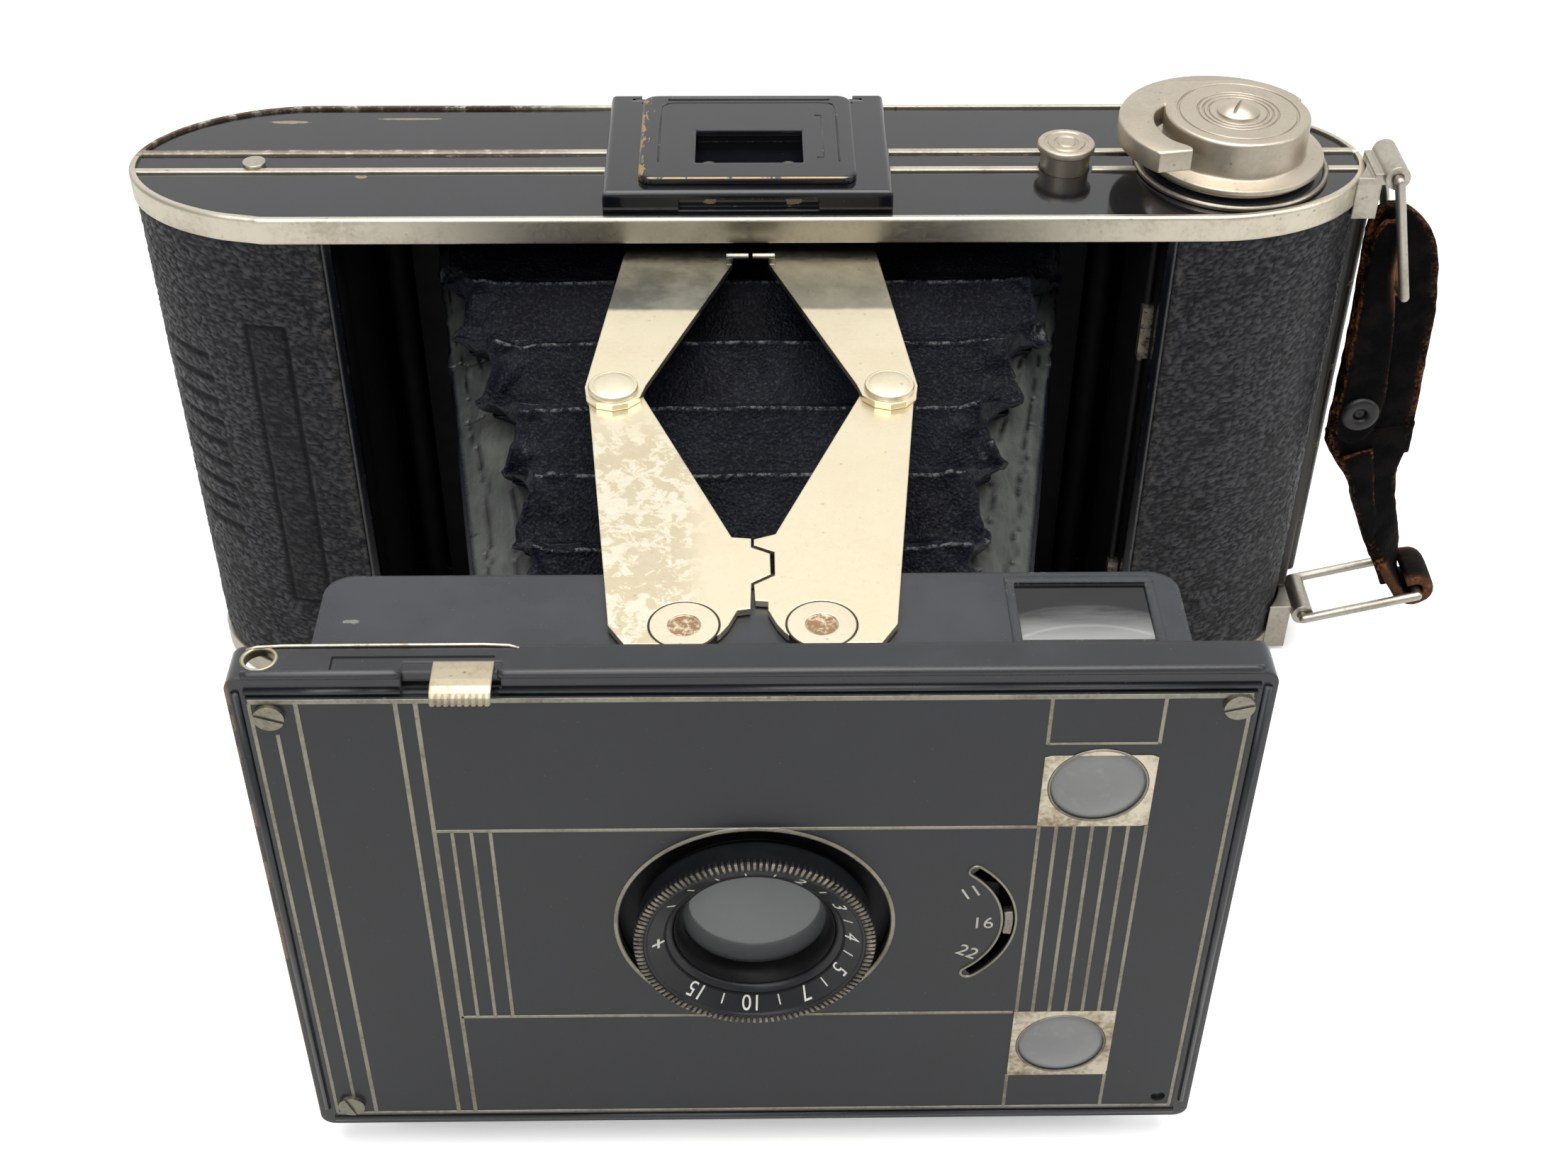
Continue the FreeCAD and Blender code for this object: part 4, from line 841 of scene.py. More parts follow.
FACE = enamel("face_enamel", base=(0.0118, 0.0128, 0.0148), spec=0.44, rough=0.33, chips=0.15,
              worn=(0.4, 0.36, 0.27), dusty=0.5, edge=0.0002, coat=0.05)
LACQUER = plain("black_lacquer", (0.0085, 0.009, 0.0102), rough=0.30, spec=0.36)
MATT_BLACK = plain("matt_black", (0.0045, 0.0045, 0.005), rough=0.72, spec=0.2)
DEEP_BLACK = plain("deep_black", (0.0028, 0.0028, 0.0032), rough=0.42, spec=0.14)
WHITE = plain("engraving_white", (0.62, 0.60, 0.54), rough=0.55, variation=0.2)
GREY = plain("engraving_grey", (0.40, 0.385, 0.32), rough=0.50, variation=0.3)
LEATHERETTE = leatherette()
BELLOWS = bellows_leather()
STRAP = strap_leather()
LENS_GLASS = lens_glass()
FINDER_GLASS = finder_glass()
RED = plain("red_celluloid", (0.22, 0.008, 0.006), rough=0.25, spec=0.6)
MIRROR = nickel("mirror", base=(0.75, 0.77, 0.78), dark=(0.5, 0.5, 0.5), rough=0.14,
                patina=0.25)
KNOB_BASE = knob_base_finish()
CATCH_ROD = catch_rod_finish()
HINGE_PIN = enamel("hinge_pin_black", base=(0.006, 0.0065, 0.008), rough=0.2, chips=0.1)
HINGE_LEAF = enamel("hinge_leaf_worn", base=(0.010, 0.0095, 0.009), rough=0.35, chips=1.5,
                    worn=(0.40, 0.34, 0.23), edge=0.0009)

# Finish, then the loaded pieces that take it.
PIECE_FINISHES = [
    (ENAMEL, "body_shell back_door"), (RIM, "body_trim"), (RIM_WORN, "door_trim"),
    (MATT_BLACK, "inner_frame guide_roller_left guide_roller_right shutter_board"),
    (CATCH_ROD, "catch_rod"), (KNOB_BASE, "knob_base"), (FINDER, "finder_block"),
    (NICKEL, "spool_pins tripod_bush top_rivets strap_lugs strap_loop_upper strap_loop_lower "
             "window_bezel door_latch shutter_lever stop_sector"),
    (HINGE_PIN, "hinge_pins"), (HINGE_LEAF, "hinge_leaf_body hinge_leaf_door"),
    (PIVOT, "rear_pivots front_pivots"),
    (LACQUER, "take_up_spool feed_spool pressure_plate focusing_ring shutter_blade"),
    (KNOB, "winding_knob knob_screw release_button"), (FINDER_PLATE, "finder_frame_plate"),
    (RED, "red_window"), (SPRING, "pressure_springs"), (STANDARD, "standard_frame"),
    (FACE, "face_plate"), (BOX, "standard_box"), (TARNISHED, "plate_screws"),
    (DEEP_BLACK, "lens_mount front_lens_cell"),
    (LENS_GLASS, "rear_lens_element front_lens_element"),
    (MIRROR, "finder_mirrors"), (FINDER_GLASS, "finder_glasses"),
    (STAY, "cable_release_socket "
           "stay_rear_top_left stay_rear_top_right stay_rear_bottom_left "
           "stay_rear_bottom_right stay_front_top_left stay_front_top_right "
           "stay_front_bottom_left stay_front_bottom_right"),
]


def finish_pieces():
    finish_of = {name: mat for mat, names in PIECE_FINISHES for name in names.split()}
    for name, piece in NODES.items():
        if name in finish_of:
            piece.data.materials.clear()
            piece.data.materials.append(finish_of[name])


# ------------------------------------------------------------------ leatherette coverings
# Each end of the body is a superellipse in X and Y, centred at x = +-END_X, y = END_Y.
END_X, END_Y, END_POWER = 60.0, 15.5, 1.9
INSET = 0.45                                    # covering path inside the casing
END_LENGTH, END_DEPTH = 22.5 - INSET, 16.0 - INSET
COVER_START = 55.45                             # |x| where the front coverings begin
COVER_BOTTOM, COVER_TOP = 3.56, 78.44
GRAIN_LENGTH, GRAIN_HEIGHT, GRAIN_SEED = 1.35, 0.60, 3


def end_point(angle):
    """Point on the +X end; 0 is its tip, positive angles go to the back."""
    cosine, sine = math.cos(angle), math.sin(angle)
    return (END_X + END_LENGTH * abs(cosine) ** (2 / END_POWER),
            END_Y + END_DEPTH * math.copysign(abs(sine) ** (2 / END_POWER), sine))


def even_path(points, step):
    """Evenly spaced points and their unit tangents."""
    points = np.array(points)
    along = distances(points)
    at = np.linspace(0, along[-1], int(along[-1] / step) + 1)
    path = np.column_stack([np.interp(at, along, column) for column in points.T])
    tangents = np.gradient(path, axis=0)
    return path, tangents / np.linalg.norm(tangents, axis=1)[:, None]


def front_path(side, y_end, step):
    """From the front face round the end at side (+1 or -1) back to y_end, with normals."""
    points = [(COVER_START + (END_X - COVER_START) * i / 30.0, END_Y - END_DEPTH)
              for i in range(30)]
    points += [end_point(-math.pi / 2 + math.pi * i / 400) for i in range(401)]
    beyond = next(i for i, p in enumerate(points) if p[1] > y_end)
    (x0, y0), (x1, y1) = points[beyond - 1], points[beyond]
    cut = (x0 + (y_end - y0) / (y1 - y0) * (x1 - x0), y_end)
    path, tangents = even_path(points[:beyond] + [cut], step)
    normals = np.column_stack([tangents[:, 1], -tangents[:, 0]])
    path[:, 0] *= side
    normals[:, 0] *= side
    return path, normals


def back_path(step):
    """Outline of the door's covering from its -X edge round to the +X side, with normals."""
    quarter = [end_point(math.pi * i / 800.0) for i in range(401)]
    points = [(-x, y) for x, y in quarter if y > 23.3]
    points += [(x, y) for x, y in quarter[::-1] if y > 20.75]
    path, tangents = even_path(points, step)
    return path, np.column_stack([-tangents[:, 1], tangents[:, 0]])


def pebble(surface):
    """Grain height 0..1 over (along, up) surface coordinates."""
    along, up = surface.T
    flat = along * 0
    grid = np.column_stack([along / GRAIN_LENGTH, up / GRAIN_HEIGHT, flat])
    grid[:, :2] += 0.35 * np.column_stack([value_noise(grid, 1.4, GRAIN_SEED),
                                           value_noise(grid, 1.4, GRAIN_SEED + 5)])
    nearest, second = cell_distances(grid, GRAIN_SEED)
    grain = clip01((second - nearest) / 0.40) ** 0.65
    uneven = value_noise(np.column_stack([along / 1.6, up / 0.5, flat]), 1.0, GRAIN_SEED + 77)
    return clip01(grain * (0.70 + 0.45 * (0.5 + 0.5 * uneven)))


def emboss_left(x, y, z):
    """Sunk panel with a pressed border, and a ladder of nine short grooves beyond it.

    Like the other emboss functions it gives height, flatness and rubbing.
    """
    bottom, top = 17.7, 65.5
    lean = clip01((z - bottom) / (top - bottom))
    inside = np.minimum.reduce([x - (-67.6 + 0.3 * lean), (-61.8 + 0.1 * lean) - x,
                                z - bottom, top - z])
    height = -0.26 * bell(inside - 0.15, 0.30) - 0.03 * (inside > 0.5)
    flat = np.maximum(0.35 * (inside > 0.4), bell(inside - 0.15, 0.34))
    across = clip01((x + 80.2) / 0.5) * clip01((-73.3 - x) / 0.5)
    for k in range(9):
        off_groove = z - (58.9 - 3.72 * k)
        height -= 0.30 * bell(off_groove, 0.40) * across
        flat = np.maximum(flat, bell(off_groove, 0.5) * across * 0.9)
    rub = clip01(1 - np.abs(x + 56.0) / 1.4) * 0.7 + clip01((y - 15.0) / 2.2) * 0.5
    return height, flat, np.maximum(rub, 0.6 * clip01((6.5 - z) / 2.5))


def emboss_right(x, y, z):
    """Plain grain, rubbed at the bottom and near the inner edge."""
    rub = np.maximum(0.5 * clip01((6.0 - z) / 2.5), 0.6 * clip01(1 - np.abs(x - 56.0) / 1.2))
    return np.zeros(len(x)), np.zeros(len(x)), rub


def emboss_back(x, y, z):
    """Sunk disc round the red window and a double border line."""
    back = y > 29
    sink = back * clip01((7.9 - np.hypot(x + 22.0, z - MID_Z)) / 0.5)
    inside = np.minimum(58.0 - np.abs(x), 33.0 - np.abs(z - MID_Z))
    height = (-0.46 * sink - 0.12 * bell(inside, 0.4) * back
              - 0.10 * bell(inside - 1.6, 0.3) * back)
    rub = 0.5 * clip01(1 - (z - 3.5) / 2.5) + 0.4 * clip01((z - 76.0) / 2.4)
    return height, sink * 0.9, rub


def covering(name, path, normals, step, thick, emboss, carrier, replaces):
    """Sheet of grained leatherette standing along a path, with its own thickness."""
    levels = np.linspace(COVER_BOTTOM, COVER_TOP, int((COVER_TOP - COVER_BOTTOM) / step) + 1)
    rows, columns = len(path), len(levels)
    total = distances(path)[-1]
    grid_along, grid_z = np.meshgrid(distances(path), levels, indexing="ij")
    along, z = grid_along.ravel(), grid_z.ravel()
    surface = np.column_stack([along, z])
    x, y = np.repeat(path, columns, axis=0).T
    normal_x, normal_y = np.repeat(normals, columns, axis=0).T
    grain = pebble(surface)
    pressed, flat, rub = emboss(x, y, z)
    edge = np.minimum.reduce([along, total - along, z - COVER_BOTTOM, COVER_TOP - z])
    fade = clip01(edge / 0.8)
    wave = 0.05 * fractal_noise(np.column_stack([surface, along * 0]), 9.0, 3, 11)
    height = (fade * (0.24 * grain * (1 - flat) + 0.05 * flat + wave) - 0.06 * fade
              + pressed * fade - 0.10 * (1 - fade))
    outer = np.column_stack([x + normal_x * height, y + normal_y * height, z])
    inner = np.column_stack([x - normal_x * thick, y - normal_y * thick, z])

    n = rows * columns
    index = np.arange(n).reshape(rows, columns)
    a, b = index[:-1, :-1].ravel(), index[1:, :-1].ravel()
    c, d = index[1:, 1:].ravel(), index[:-1, 1:].ravel()
    faces = np.column_stack([a, b, c, d]).tolist()
    faces += np.column_stack([a + n, d + n, c + n, b + n]).tolist()
    rim = (list(index[:, 0]) + list(index[-1, 1:]) + list(index[-2::-1, -1])
           + list(index[0, -2:0:-1]))
    faces += [(q, p, p + n, q + n) for p, q in zip(rim, rim[1:] + rim[:1])]
    zeros = np.zeros(n)
    obj = make_mesh(name, np.vstack([outer, inner]), faces, [LEATHERETTE],
                    attributes={"grain": np.concatenate([grain * (1 - flat), zeros]),
                                "rub": np.concatenate([rub, zeros])})
    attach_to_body(obj, carrier)
    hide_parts(replaces)


def build_coverings():
    front_step = 0.29
    back_step = 0.55
    for name, side, y_end, emboss in (("covering_front_left", -1, 17.05, emboss_left),
                                      ("covering_front_right", 1, 13.35, emboss_right)):
        covering(name, *front_path(side, y_end, front_step), front_step, 0.42, emboss,
                 "body", "front_leatherettes")
    covering("covering_back", *back_path(back_step), back_step, 0.30, emboss_back,
             "door", "leatherette_back")


# ------------------------------------------------------------------ bellows
# Raised folds: y, half width.
FOLDS = np.array([(-50.8, 24.3), (-37.7, 25.4), (-24.8, 28.2), (-11.2, 32.6), (2.5, 37.0)])
# Stations: y, fold state (1 on a raised fold, -1 in the valley between two).
BELLOWS_STATIONS = np.array([
    (-63.38, 0.2), (-57.6, -1), (-50.8, 1), (-44.2, -1), (-37.7, 1), (-31.2, -1), (-24.8, 1),
    (-18.0, -1), (-11.2, 1), (-4.3, -1), (2.5, 1), (9.0, -1), (15.2, 0.6), (22.55, 0.0)])
BELLOWS_FRONT, BELLOWS_BACK = -63.4, 22.6


def bellows_rows():
    """Y of every ring, closer at the stations, and its smoothed fold state."""
    station_y, station_fold = BELLOWS_STATIONS.T
    spacing = 0.34
    rows = []
    for start, end in zip(station_y[:-1], station_y[1:]):
        t = np.linspace(0, 1, int((end - start) / spacing), endpoint=False)
        t = t - 0.09 * np.sin(2 * math.pi * t)
        rows += list(start + (end - start) * t)
    rows = np.array(rows + [station_y[-1]])
    grid = np.linspace(station_y[0], station_y[-1], 3000)
    kernel = bell(np.linspace(-1.0, 1.0, 71), 0.30)
    fold = np.pad(np.interp(grid, station_y, station_fold), 35, mode="edge")
    fold = np.convolve(fold, kernel / kernel.sum(), "valid")
    return rows, np.clip(np.interp(rows, grid, fold) * 1.10, -1, 1)


def bellows_ring(width, fold_width, top_z, ridge_z, band_x, fold):
    """(x, z) loop about the axis and its band tag: 1 on the flat bands, 0.5 on the gussets."""
    counts = ((84, 16, 16, 26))
    top, gusset, band, side = [np.linspace(0, 1, count, endpoint=False) for count in counts]
    inner_x = fold_width - 1.2
    gusset_z, band_z = ridge_z - 6.2, ridge_z - 9.2
    roll = 0.7 * np.sin(gusset * math.pi) * (0.4 + 0.6 * (1 - fold) / 2)
    bulge = np.sin(side * math.pi / 2) ** 0.8
    half = np.vstack([
        np.column_stack([width * top, np.full(len(top), top_z)]),
        np.column_stack([width + roll - (width - inner_x) * gusset ** 1.6,
                         top_z - (top_z - gusset_z) * gusset]),
        np.column_stack([inner_x + (band_x - inner_x) * band,
                         gusset_z + (band_z - gusset_z) * band ** 1.3]),
        np.column_stack([band_x + bulge * 1.5 * (-fold) - 0.8 * bulge, band_z * (1 - side)])])
    tags = np.repeat([0.0, 0.5, 1.0, 0.0], counts)
    right = np.vstack([half, [[half[-1][0], 0.0]], (half[::-1] * (1, -1))[1:]])
    left = (right[::-1] * (-1, 1))[1:-1]
    right_tags = np.concatenate([tags, [0.0], tags[::-1][1:]])
    return np.vstack([right, left]), np.concatenate([right_tags, right_tags[::-1][1:-1]])


def bellows_shape():
    """Smooth rings, with each point's band tag, fold state, width and band extent."""
    rows, fold = bellows_rows()
    fold_width = np.interp(rows, [BELLOWS_FRONT, *FOLDS[:, 0], BELLOWS_BACK],
                           [23.9, *FOLDS[:, 1], 42.5])
    band_x = np.interp(rows, [-63.4, -44, 15, 22.6], [29.8, 33.0, 42.7, 44.2])
    ridge_z = np.interp(rows, [-63.4, 2.5, 22.6], [27.3, 30.1, 30.9])
    depth = np.interp(rows, [-63.4, -55, 2.5, 10, 22.6], [1.0, 4.8, 5.0, 4.4, 0.6])
    top_z = ridge_z - depth * (1 - fold) / 2
    ear = np.interp(rows, [-63.4, -50, -40, 2.5, 22.6], [0.8, 2.4, 3.6, 3.9, 1.5])
    width = fold_width + ear * ((1 - fold) / 2) ** 1.5
    axis_z = np.interp(rows, [BELLOWS_FRONT, 2.5], [LENS_Z, MID_Z])
    rings, tags = [], []
    for i, y in enumerate(rows):
        loop, tag = bellows_ring(width[i], fold_width[i], top_z[i], ridge_z[i], band_x[i],
                                 fold[i])
        rings.append(np.column_stack([loop[:, 0], np.full(len(loop), y), loop[:, 1] + axis_z[i]]))
        tags.append(tag)
    rings = np.array(rings)
    per_point = [np.repeat(v, rings.shape[1]) for v in (fold, width, fold_width, band_x, axis_z)]
    return rings, np.array(tags).ravel(), per_point


def bellows_cracks(points, y, sign, fold_width, band_x):
    """Two long cracks along each flat band, and short ones across."""
    side, ax = np.sign(points[:, 0]), np.abs(points[:, 0])
    across = (ax - fold_width) / np.maximum(0.1, band_x - fold_width)
    run = np.column_stack([y, sign * 3, side * 5])
    line = across + 0.10 * value_noise(run, 6.0, 81) + 0.05 * value_noise(run, 1.4, 83)
    crack = np.zeros(len(points))
    for place in (0.30, 0.72):
        present = value_noise(np.column_stack([y, side * 9, y * 0 + place * 30]), 9.0, 85) > -0.35
        crack = np.maximum(crack, bell(line - place, 0.028) * present)
    wander = 3.0 * value_noise(np.column_stack([ax, sign, side]), 3.0, 87)
    cross = bell(np.mod(y + wander, 11.0) - 5.5, 0.14) * (value_noise(points, 5.0, 88) > 0.25)
    return clip01(np.maximum(crack, cross))


def build_bellows():
    rings, band, (fold, width, fold_width, band_x, axis_z) = bellows_shape()
    smooth = rings.reshape(-1, 3)
    points = smooth.copy()
    n = len(points)
    y = smooth[:, 1]
    sign = np.sign(points[:, 2] - MID_Z)
    top = clip01((np.abs(points[:, 2] - MID_Z) - 18.0) / 3.0)
    corner = bell(np.abs(points[:, 0]) - width, 4.2) * top * (band < 0.9)
    fade = clip01((y - BELLOWS_FRONT) / 3.0) * clip01((BELLOWS_BACK - y) / 5.0)

    # Crumpling, strongest at the gussets.
    large = fractal_noise(points, 4.2, 3, 5)
    small = fractal_noise(points, 1.7, 3, 17)
    sideways = fractal_noise(points + 40, 3.1, 3, 23)
    creases = 1 - np.abs(fractal_noise(points + 11, 3.4, 3, 9)) * 2.4
    points[:, 2] += (sign * fade * top * (0.20 * large + 0.10 * small)
                     + sign * corner * fade * (0.9 * large + 0.45 * small + 0.55 * creases))
    points[:, 0] += np.sign(points[:, 0]) * corner * fade * (
        0.9 * sideways + 0.40 * small + 0.35 * creases)
    points[:, 1] += corner * fade * 0.75 * fractal_noise(points + 90, 2.6, 2, 41)

    # Panels sag a little between folds and carry faint creases.
    points[:, 2] -= sign * top * fade * 0.30 * bell(points[:, 0], 20.0) * (1 - np.abs(fold))
    faint = fractal_noise(points * (0.12, 1.0, 0.2), 0.9, 2, 61)
    points[:, 2] += sign * top * fade * 0.07 * faint * (band < 0.5)

    # Raised double crease on each fold, with its wear and painted glint.
    wear = np.zeros(n)
    flat_top = top * (np.abs(points[:, 0]) < fold_width + 0.8) * (band < 0.4)
    wobble = 0.16 * value_noise(points * (1, 0, 0), 5.0, 71)
    for fold_y in [*FOLDS[::-1, 0], -63.0]:
        for offset, height, rubbed in ((-0.45, 0.26, 1.0), (0.62, 0.20, 0.78)):
            crease = bell(y - fold_y - offset - wobble, 0.24)
            points[:, 2] += sign * flat_top * height * crease * fade
            wear = np.maximum(wear, crease * flat_top * rubbed)
    # Crumpled corners lighten too: real wear mixed with painted glints.
    crumple_wear_and_glint = corner * clip01(small * 2.2 + 0.5 * creases) * clip01(-fold + 0.6)
    wear = np.maximum(wear, 0.85 * crumple_wear_and_glint)

    # Flat bands: cracks and slight waves.
    on_band = band > 0.9
    crack = bellows_cracks(points, y, sign, fold_width, band_x) * on_band
    points[:, 2] -= sign * crack * 0.22
    waves = fractal_noise(np.column_stack([points[:, 0], y * 0.3, points[:, 2]]), 2.2, 2, 91)
    points[:, 2] += sign * on_band * fade * 0.16 * waves

    center = np.column_stack([np.zeros(n), y, axis_z])
    inner = center + (smooth - center) * (0.955, 1.0, 0.95)
    index = np.arange(n).reshape(rings.shape[:2])
    a, b = index[:-1], index[1:]
    a2, b2 = np.roll(a, -1, axis=1), np.roll(b, -1, axis=1)
    a, b, a2, b2 = [part.ravel() for part in (a, b, a2, b2)]
    faces = np.column_stack([a, a2, b2, b]).tolist()
    faces += np.column_stack([a + n, b + n, b2 + n, a2 + n]).tolist()
    faces += [(p, p + n, q + n, q) for p, q in zip(index[0], np.roll(index[0], -1))]
    faces += [(q, q + n, p + n, p) for p, q in zip(index[-1], np.roll(index[-1], -1))]
    band_mask = np.where(on_band, 1.0, np.where(band > 0.4, 0.12, 0.0))
    # The wear layer carries real wear and painted glints.
    layers = {"wear": clip01(wear), "band": band_mask, "crack": crack}
    obj = make_mesh("bellows_leather", np.vstack([points, inner]), faces, [BELLOWS],
                    attributes={key: np.concatenate([v, np.zeros(n)])
                                for key, v in layers.items()})
    attach(obj, "body", replaces="bellows")
    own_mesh(obj)


# ------------------------------------------------------------------ carrying strap
# Flat lengths, from the top down: z, left x, right x.
STRAP_BACK = [
    (76.7, 86.0, 87.6), (76.4, 85.1, 88.8), (75.8, 84.5, 89.8), (74.8, 84.0, 91.0),
    (73.0, 83.8, 92.6), (70.5, 83.8, 93.9), (67.0, 84.0, 94.9), (60.0, 84.3, 96.0),
    (50.0, 84.3, 96.3), (42.0, 84.0, 96.5), (38.0, 84.0, 96.7), (36.2, 84.9, 96.7)]
STRAP_FRONT = [
    (75.4, 85.6, 86.8), (75.0, 85.0, 87.4), (74.0, 84.4, 87.8), (72.0, 84.0, 87.9),
    (69.0, 83.9, 87.9), (66.5, 83.9, 88.1), (63.3, 84.0, 88.9), (55.7, 84.1, 89.9),
    (47.4, 84.1, 90.6), (43.2, 84.1, 90.4), (41.2, 84.4, 89.7), (40.1, 85.0, 89.1),
    (39.5, 85.8, 88.4), (39.2, 86.6, 87.4)]
STRAP_FLESH = [
    (72.3, 87.3, 87.9), (71.6, 87.0, 88.4), (70.0, 86.8, 88.9), (68.0, 86.9, 89.2),
    (66.0, 87.4, 89.4), (64.6, 88.0, 89.4), (63.8, 88.5, 89.2)]
# Twisted lengths: x, z, half width, degrees the width has turned towards Y.
STRAP_LOWER = [
    (90.2, 40.5, 6.4, 0), (90.4, 38.4, 6.3, 0), (91.2, 35.6, 5.2, 0), (92.1, 31.8, 3.6, 6),
    (93.2, 27.4, 3.25, 12), (94.8, 23.2, 2.9, 24), (96.7, 18.6, 2.7, 44),
    (97.9, 15.2, 3.2, 66), (98.9, 12.6, 3.9, 84), (99.75, 10.7, 4.0, 90),
    (101.2, 9.95, 4.0, 90), (102.9, 10.3, 4.0, 90), (104.0, 11.7, 4.0, 90),
    (103.9, 13.5, 4.0, 90), (102.7, 14.8, 4.0, 90), (101.0, 14.9, 4.0, 90),
    (99.9, 14.0, 4.0, 90)]
STRAP_FOLD = [
    (88.6, 36.4, 2.6, 4), (90.0, 32.6, 2.0, 10), (91.0, 28.8, 1.6, 16), (92.3, 24.8, 1.5, 26),
    (94.1, 20.6, 1.5, 42), (96.0, 16.6, 1.6, 62), (97.2, 13.2, 1.9, 80)]


def flat_rows(table, count, y_at):
    """Sections (centre, width direction, face direction, half width) of a flat length."""
    table = np.array(table)
    heights, lefts, rights = table[::-1].T
    rows = []
    for z in np.linspace(table[0, 0], table[-1, 0], count):
        left, right = np.interp(z, heights, lefts), np.interp(z, heights, rights)
        rows.append(((0.5 * (left + right), y_at(z), z), (1, 0, 0), (0, 1, 0),
                     0.5 * (right - left)))
    return rows


def twisted_rows(path, y_start, y_swing):
    """Sections of a length whose width direction turns towards +Y."""
    rows, previous = [], np.array([1.0, 0, 0])
    for i, (x, z, half_width, turn) in enumerate(path):
        before, after = path[max(0, i - 1)], path[min(len(path) - 1, i + 1)]
        tangent = np.array([after[0] - before[0], 0, after[1] - before[1]])
        tangent /= np.linalg.norm(tangent)
        inward = np.cross(tangent, np.array([0.0, 1.0, 0.0]))
        if np.dot(inward, previous) < 0:
            inward = -inward
        previous = inward
        turn = math.radians(turn)
        across = inward * math.cos(turn) + np.array([0, 1.0, 0]) * math.sin(turn)
        face = np.cross(tangent, across)
        rows.append(((x, y_start - y_swing * math.sin(turn), z), across,
                     face / np.linalg.norm(face), half_width))
    return rows


def ribbon(name, rows, thick, seed, thinning=0.0, wear_power=5.0, suede=None, sides=30,
           rough=0.28):
    """Uneven leather ribbon with rounded edges; suede(share along, share across) is its mask."""
    verts, wear, flesh = [], [], []
    for i, (center, across, face, half_width) in enumerate(rows):
        center, across, face = [np.array(v, float) for v in (center, across, face)]
        share = i / (len(rows) - 1)
        half_thick = 0.5 * (thick - thinning * min(1.0, share * 1.6))
        for k in range(sides):
            angle = 2 * math.pi * k / sides
            cosine, sine = math.cos(angle), math.sin(angle)
            u = math.copysign(abs(cosine) ** 0.4, cosine)
            v = math.copysign(abs(sine) ** 0.4, sine)
            verts.append(center + across * half_width * u + face * half_thick * v)
            wear.append(min(1.0, abs(u) ** wear_power * 1.1))
            flesh.append(suede(share, u) if suede else 0.0)
    verts = np.array(verts)
    large = fractal_noise(verts, 5.0, 3, seed)
    small = fractal_noise(verts, 1.3, 3, seed + 7)
    outward = verts - np.repeat(np.array([row[0] for row in rows], float), sides, axis=0)
    outward /= np.linalg.norm(outward, axis=1)[:, None] + 1e-6
    verts = verts + outward * (rough * 0.5 * small)[:, None]
    verts[:, 1] += rough * 0.6 * large
    verts = np.vstack([verts, verts[:sides].mean(0), verts[-sides:].mean(0)])
    return make_mesh(name, verts, bar_faces(len(rows), sides), [STRAP],
                     attributes={"wear": wear + [1.0, 1.0], "suede": flesh + [0.0, 0.0]})


def blend_upper(obj):
    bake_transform(obj)


def blend_lower(obj):
    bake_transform(obj)


def front_suede(along, across):
    if not 0.02 < along < 0.38:
        return 0.0
    return 0.9 * max(0.0, (across - 0.60) / 0.4) * (1 - abs(along - 0.2) / 0.2)


def lower_suede(along, across):
    return 0.30 * abs(across) ** 6 if along > 0.55 else 0.0


def build_strap():
    back = flat_rows(STRAP_BACK, 70, lambda z: 12.35 + 0.5 * math.sin((76 - z) / 9.0))
    front = flat_rows(STRAP_FRONT, 60, lambda z: 10.05 - 0.35 * math.sin((76 - z) / 12.0))
    flesh = flat_rows(STRAP_FLESH, 22, lambda z: 10.6)
    uppers = [
        ribbon("strap_upper_back", back, thick=2.1, seed=11),
        ribbon("strap_upper_front", front, thick=1.7, seed=29, wear_power=9.0,
               suede=front_suede),
        ribbon("strap_upper_flesh", flesh, thick=1.5, seed=5, sides=18, rough=0.15,
               suede=lambda along, across: 1.0)]
    for obj in uppers:
        blend_upper(obj)

    lower = ribbon("strap_lower", twisted_rows(smooth_path(STRAP_LOWER, 150), 11.9, 0.45),
                   thick=2.3, thinning=0.5, seed=47, rough=0.34, suede=lower_suede)
    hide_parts("carrying_strap")
    blend_lower(lower)

    fold = ribbon("strap_lower_fold", twisted_rows(smooth_path(STRAP_FOLD, 80), 10.7, 0.2),
                  thick=1.5, seed=61, wear_power=4.0, rough=0.40, sides=24)
    blend_lower(fold)


def build_strap_stud():
    """Round stud with a dimple on the strap's upper tab."""
    parts = Parts()
    center = (87.3, 44.6)
    parts.lathe([(0.9, 9.35), (0.9, 8.75), (1.2, 8.45), (1.9, 8.3), (2.45, 8.42),
                 (2.75, 8.75), (2.8, 9.4)], center, 56)
    parts.lathe([(0.0001, 8.95), (0.75, 8.95), (0.88, 9.15), (0.88, 9.4), (0.0001, 9.4)],
                center, 40)
    leather = plain("stud_leather", (0.0045, 0.0035, 0.0032), rough=0.36, variation=0.5,
                    bump=0.6, spec=0.45)
    stud = parts.done("strap_stud", leather, smooth=True)
    blend_upper(stud)


# ------------------------------------------------------------------ face plate
LENS = (0, LENS_Z)
LINE_FRONT, LINE_BACK = -82.57, -82.45          # y of the raised lines
SECTOR_X = 17.4                                 # the stop sector turns about (SECTOR_X, LENS_Z)
SLOT_RADIUS, SLOT_HALF_WIDTH, SLOT_HALF_ANGLE = 10.55, 0.78, 52
UPPER_WINDOW_Z, LOWER_WINDOW_Z = MID_Z + 21.25, MID_Z - 21.4


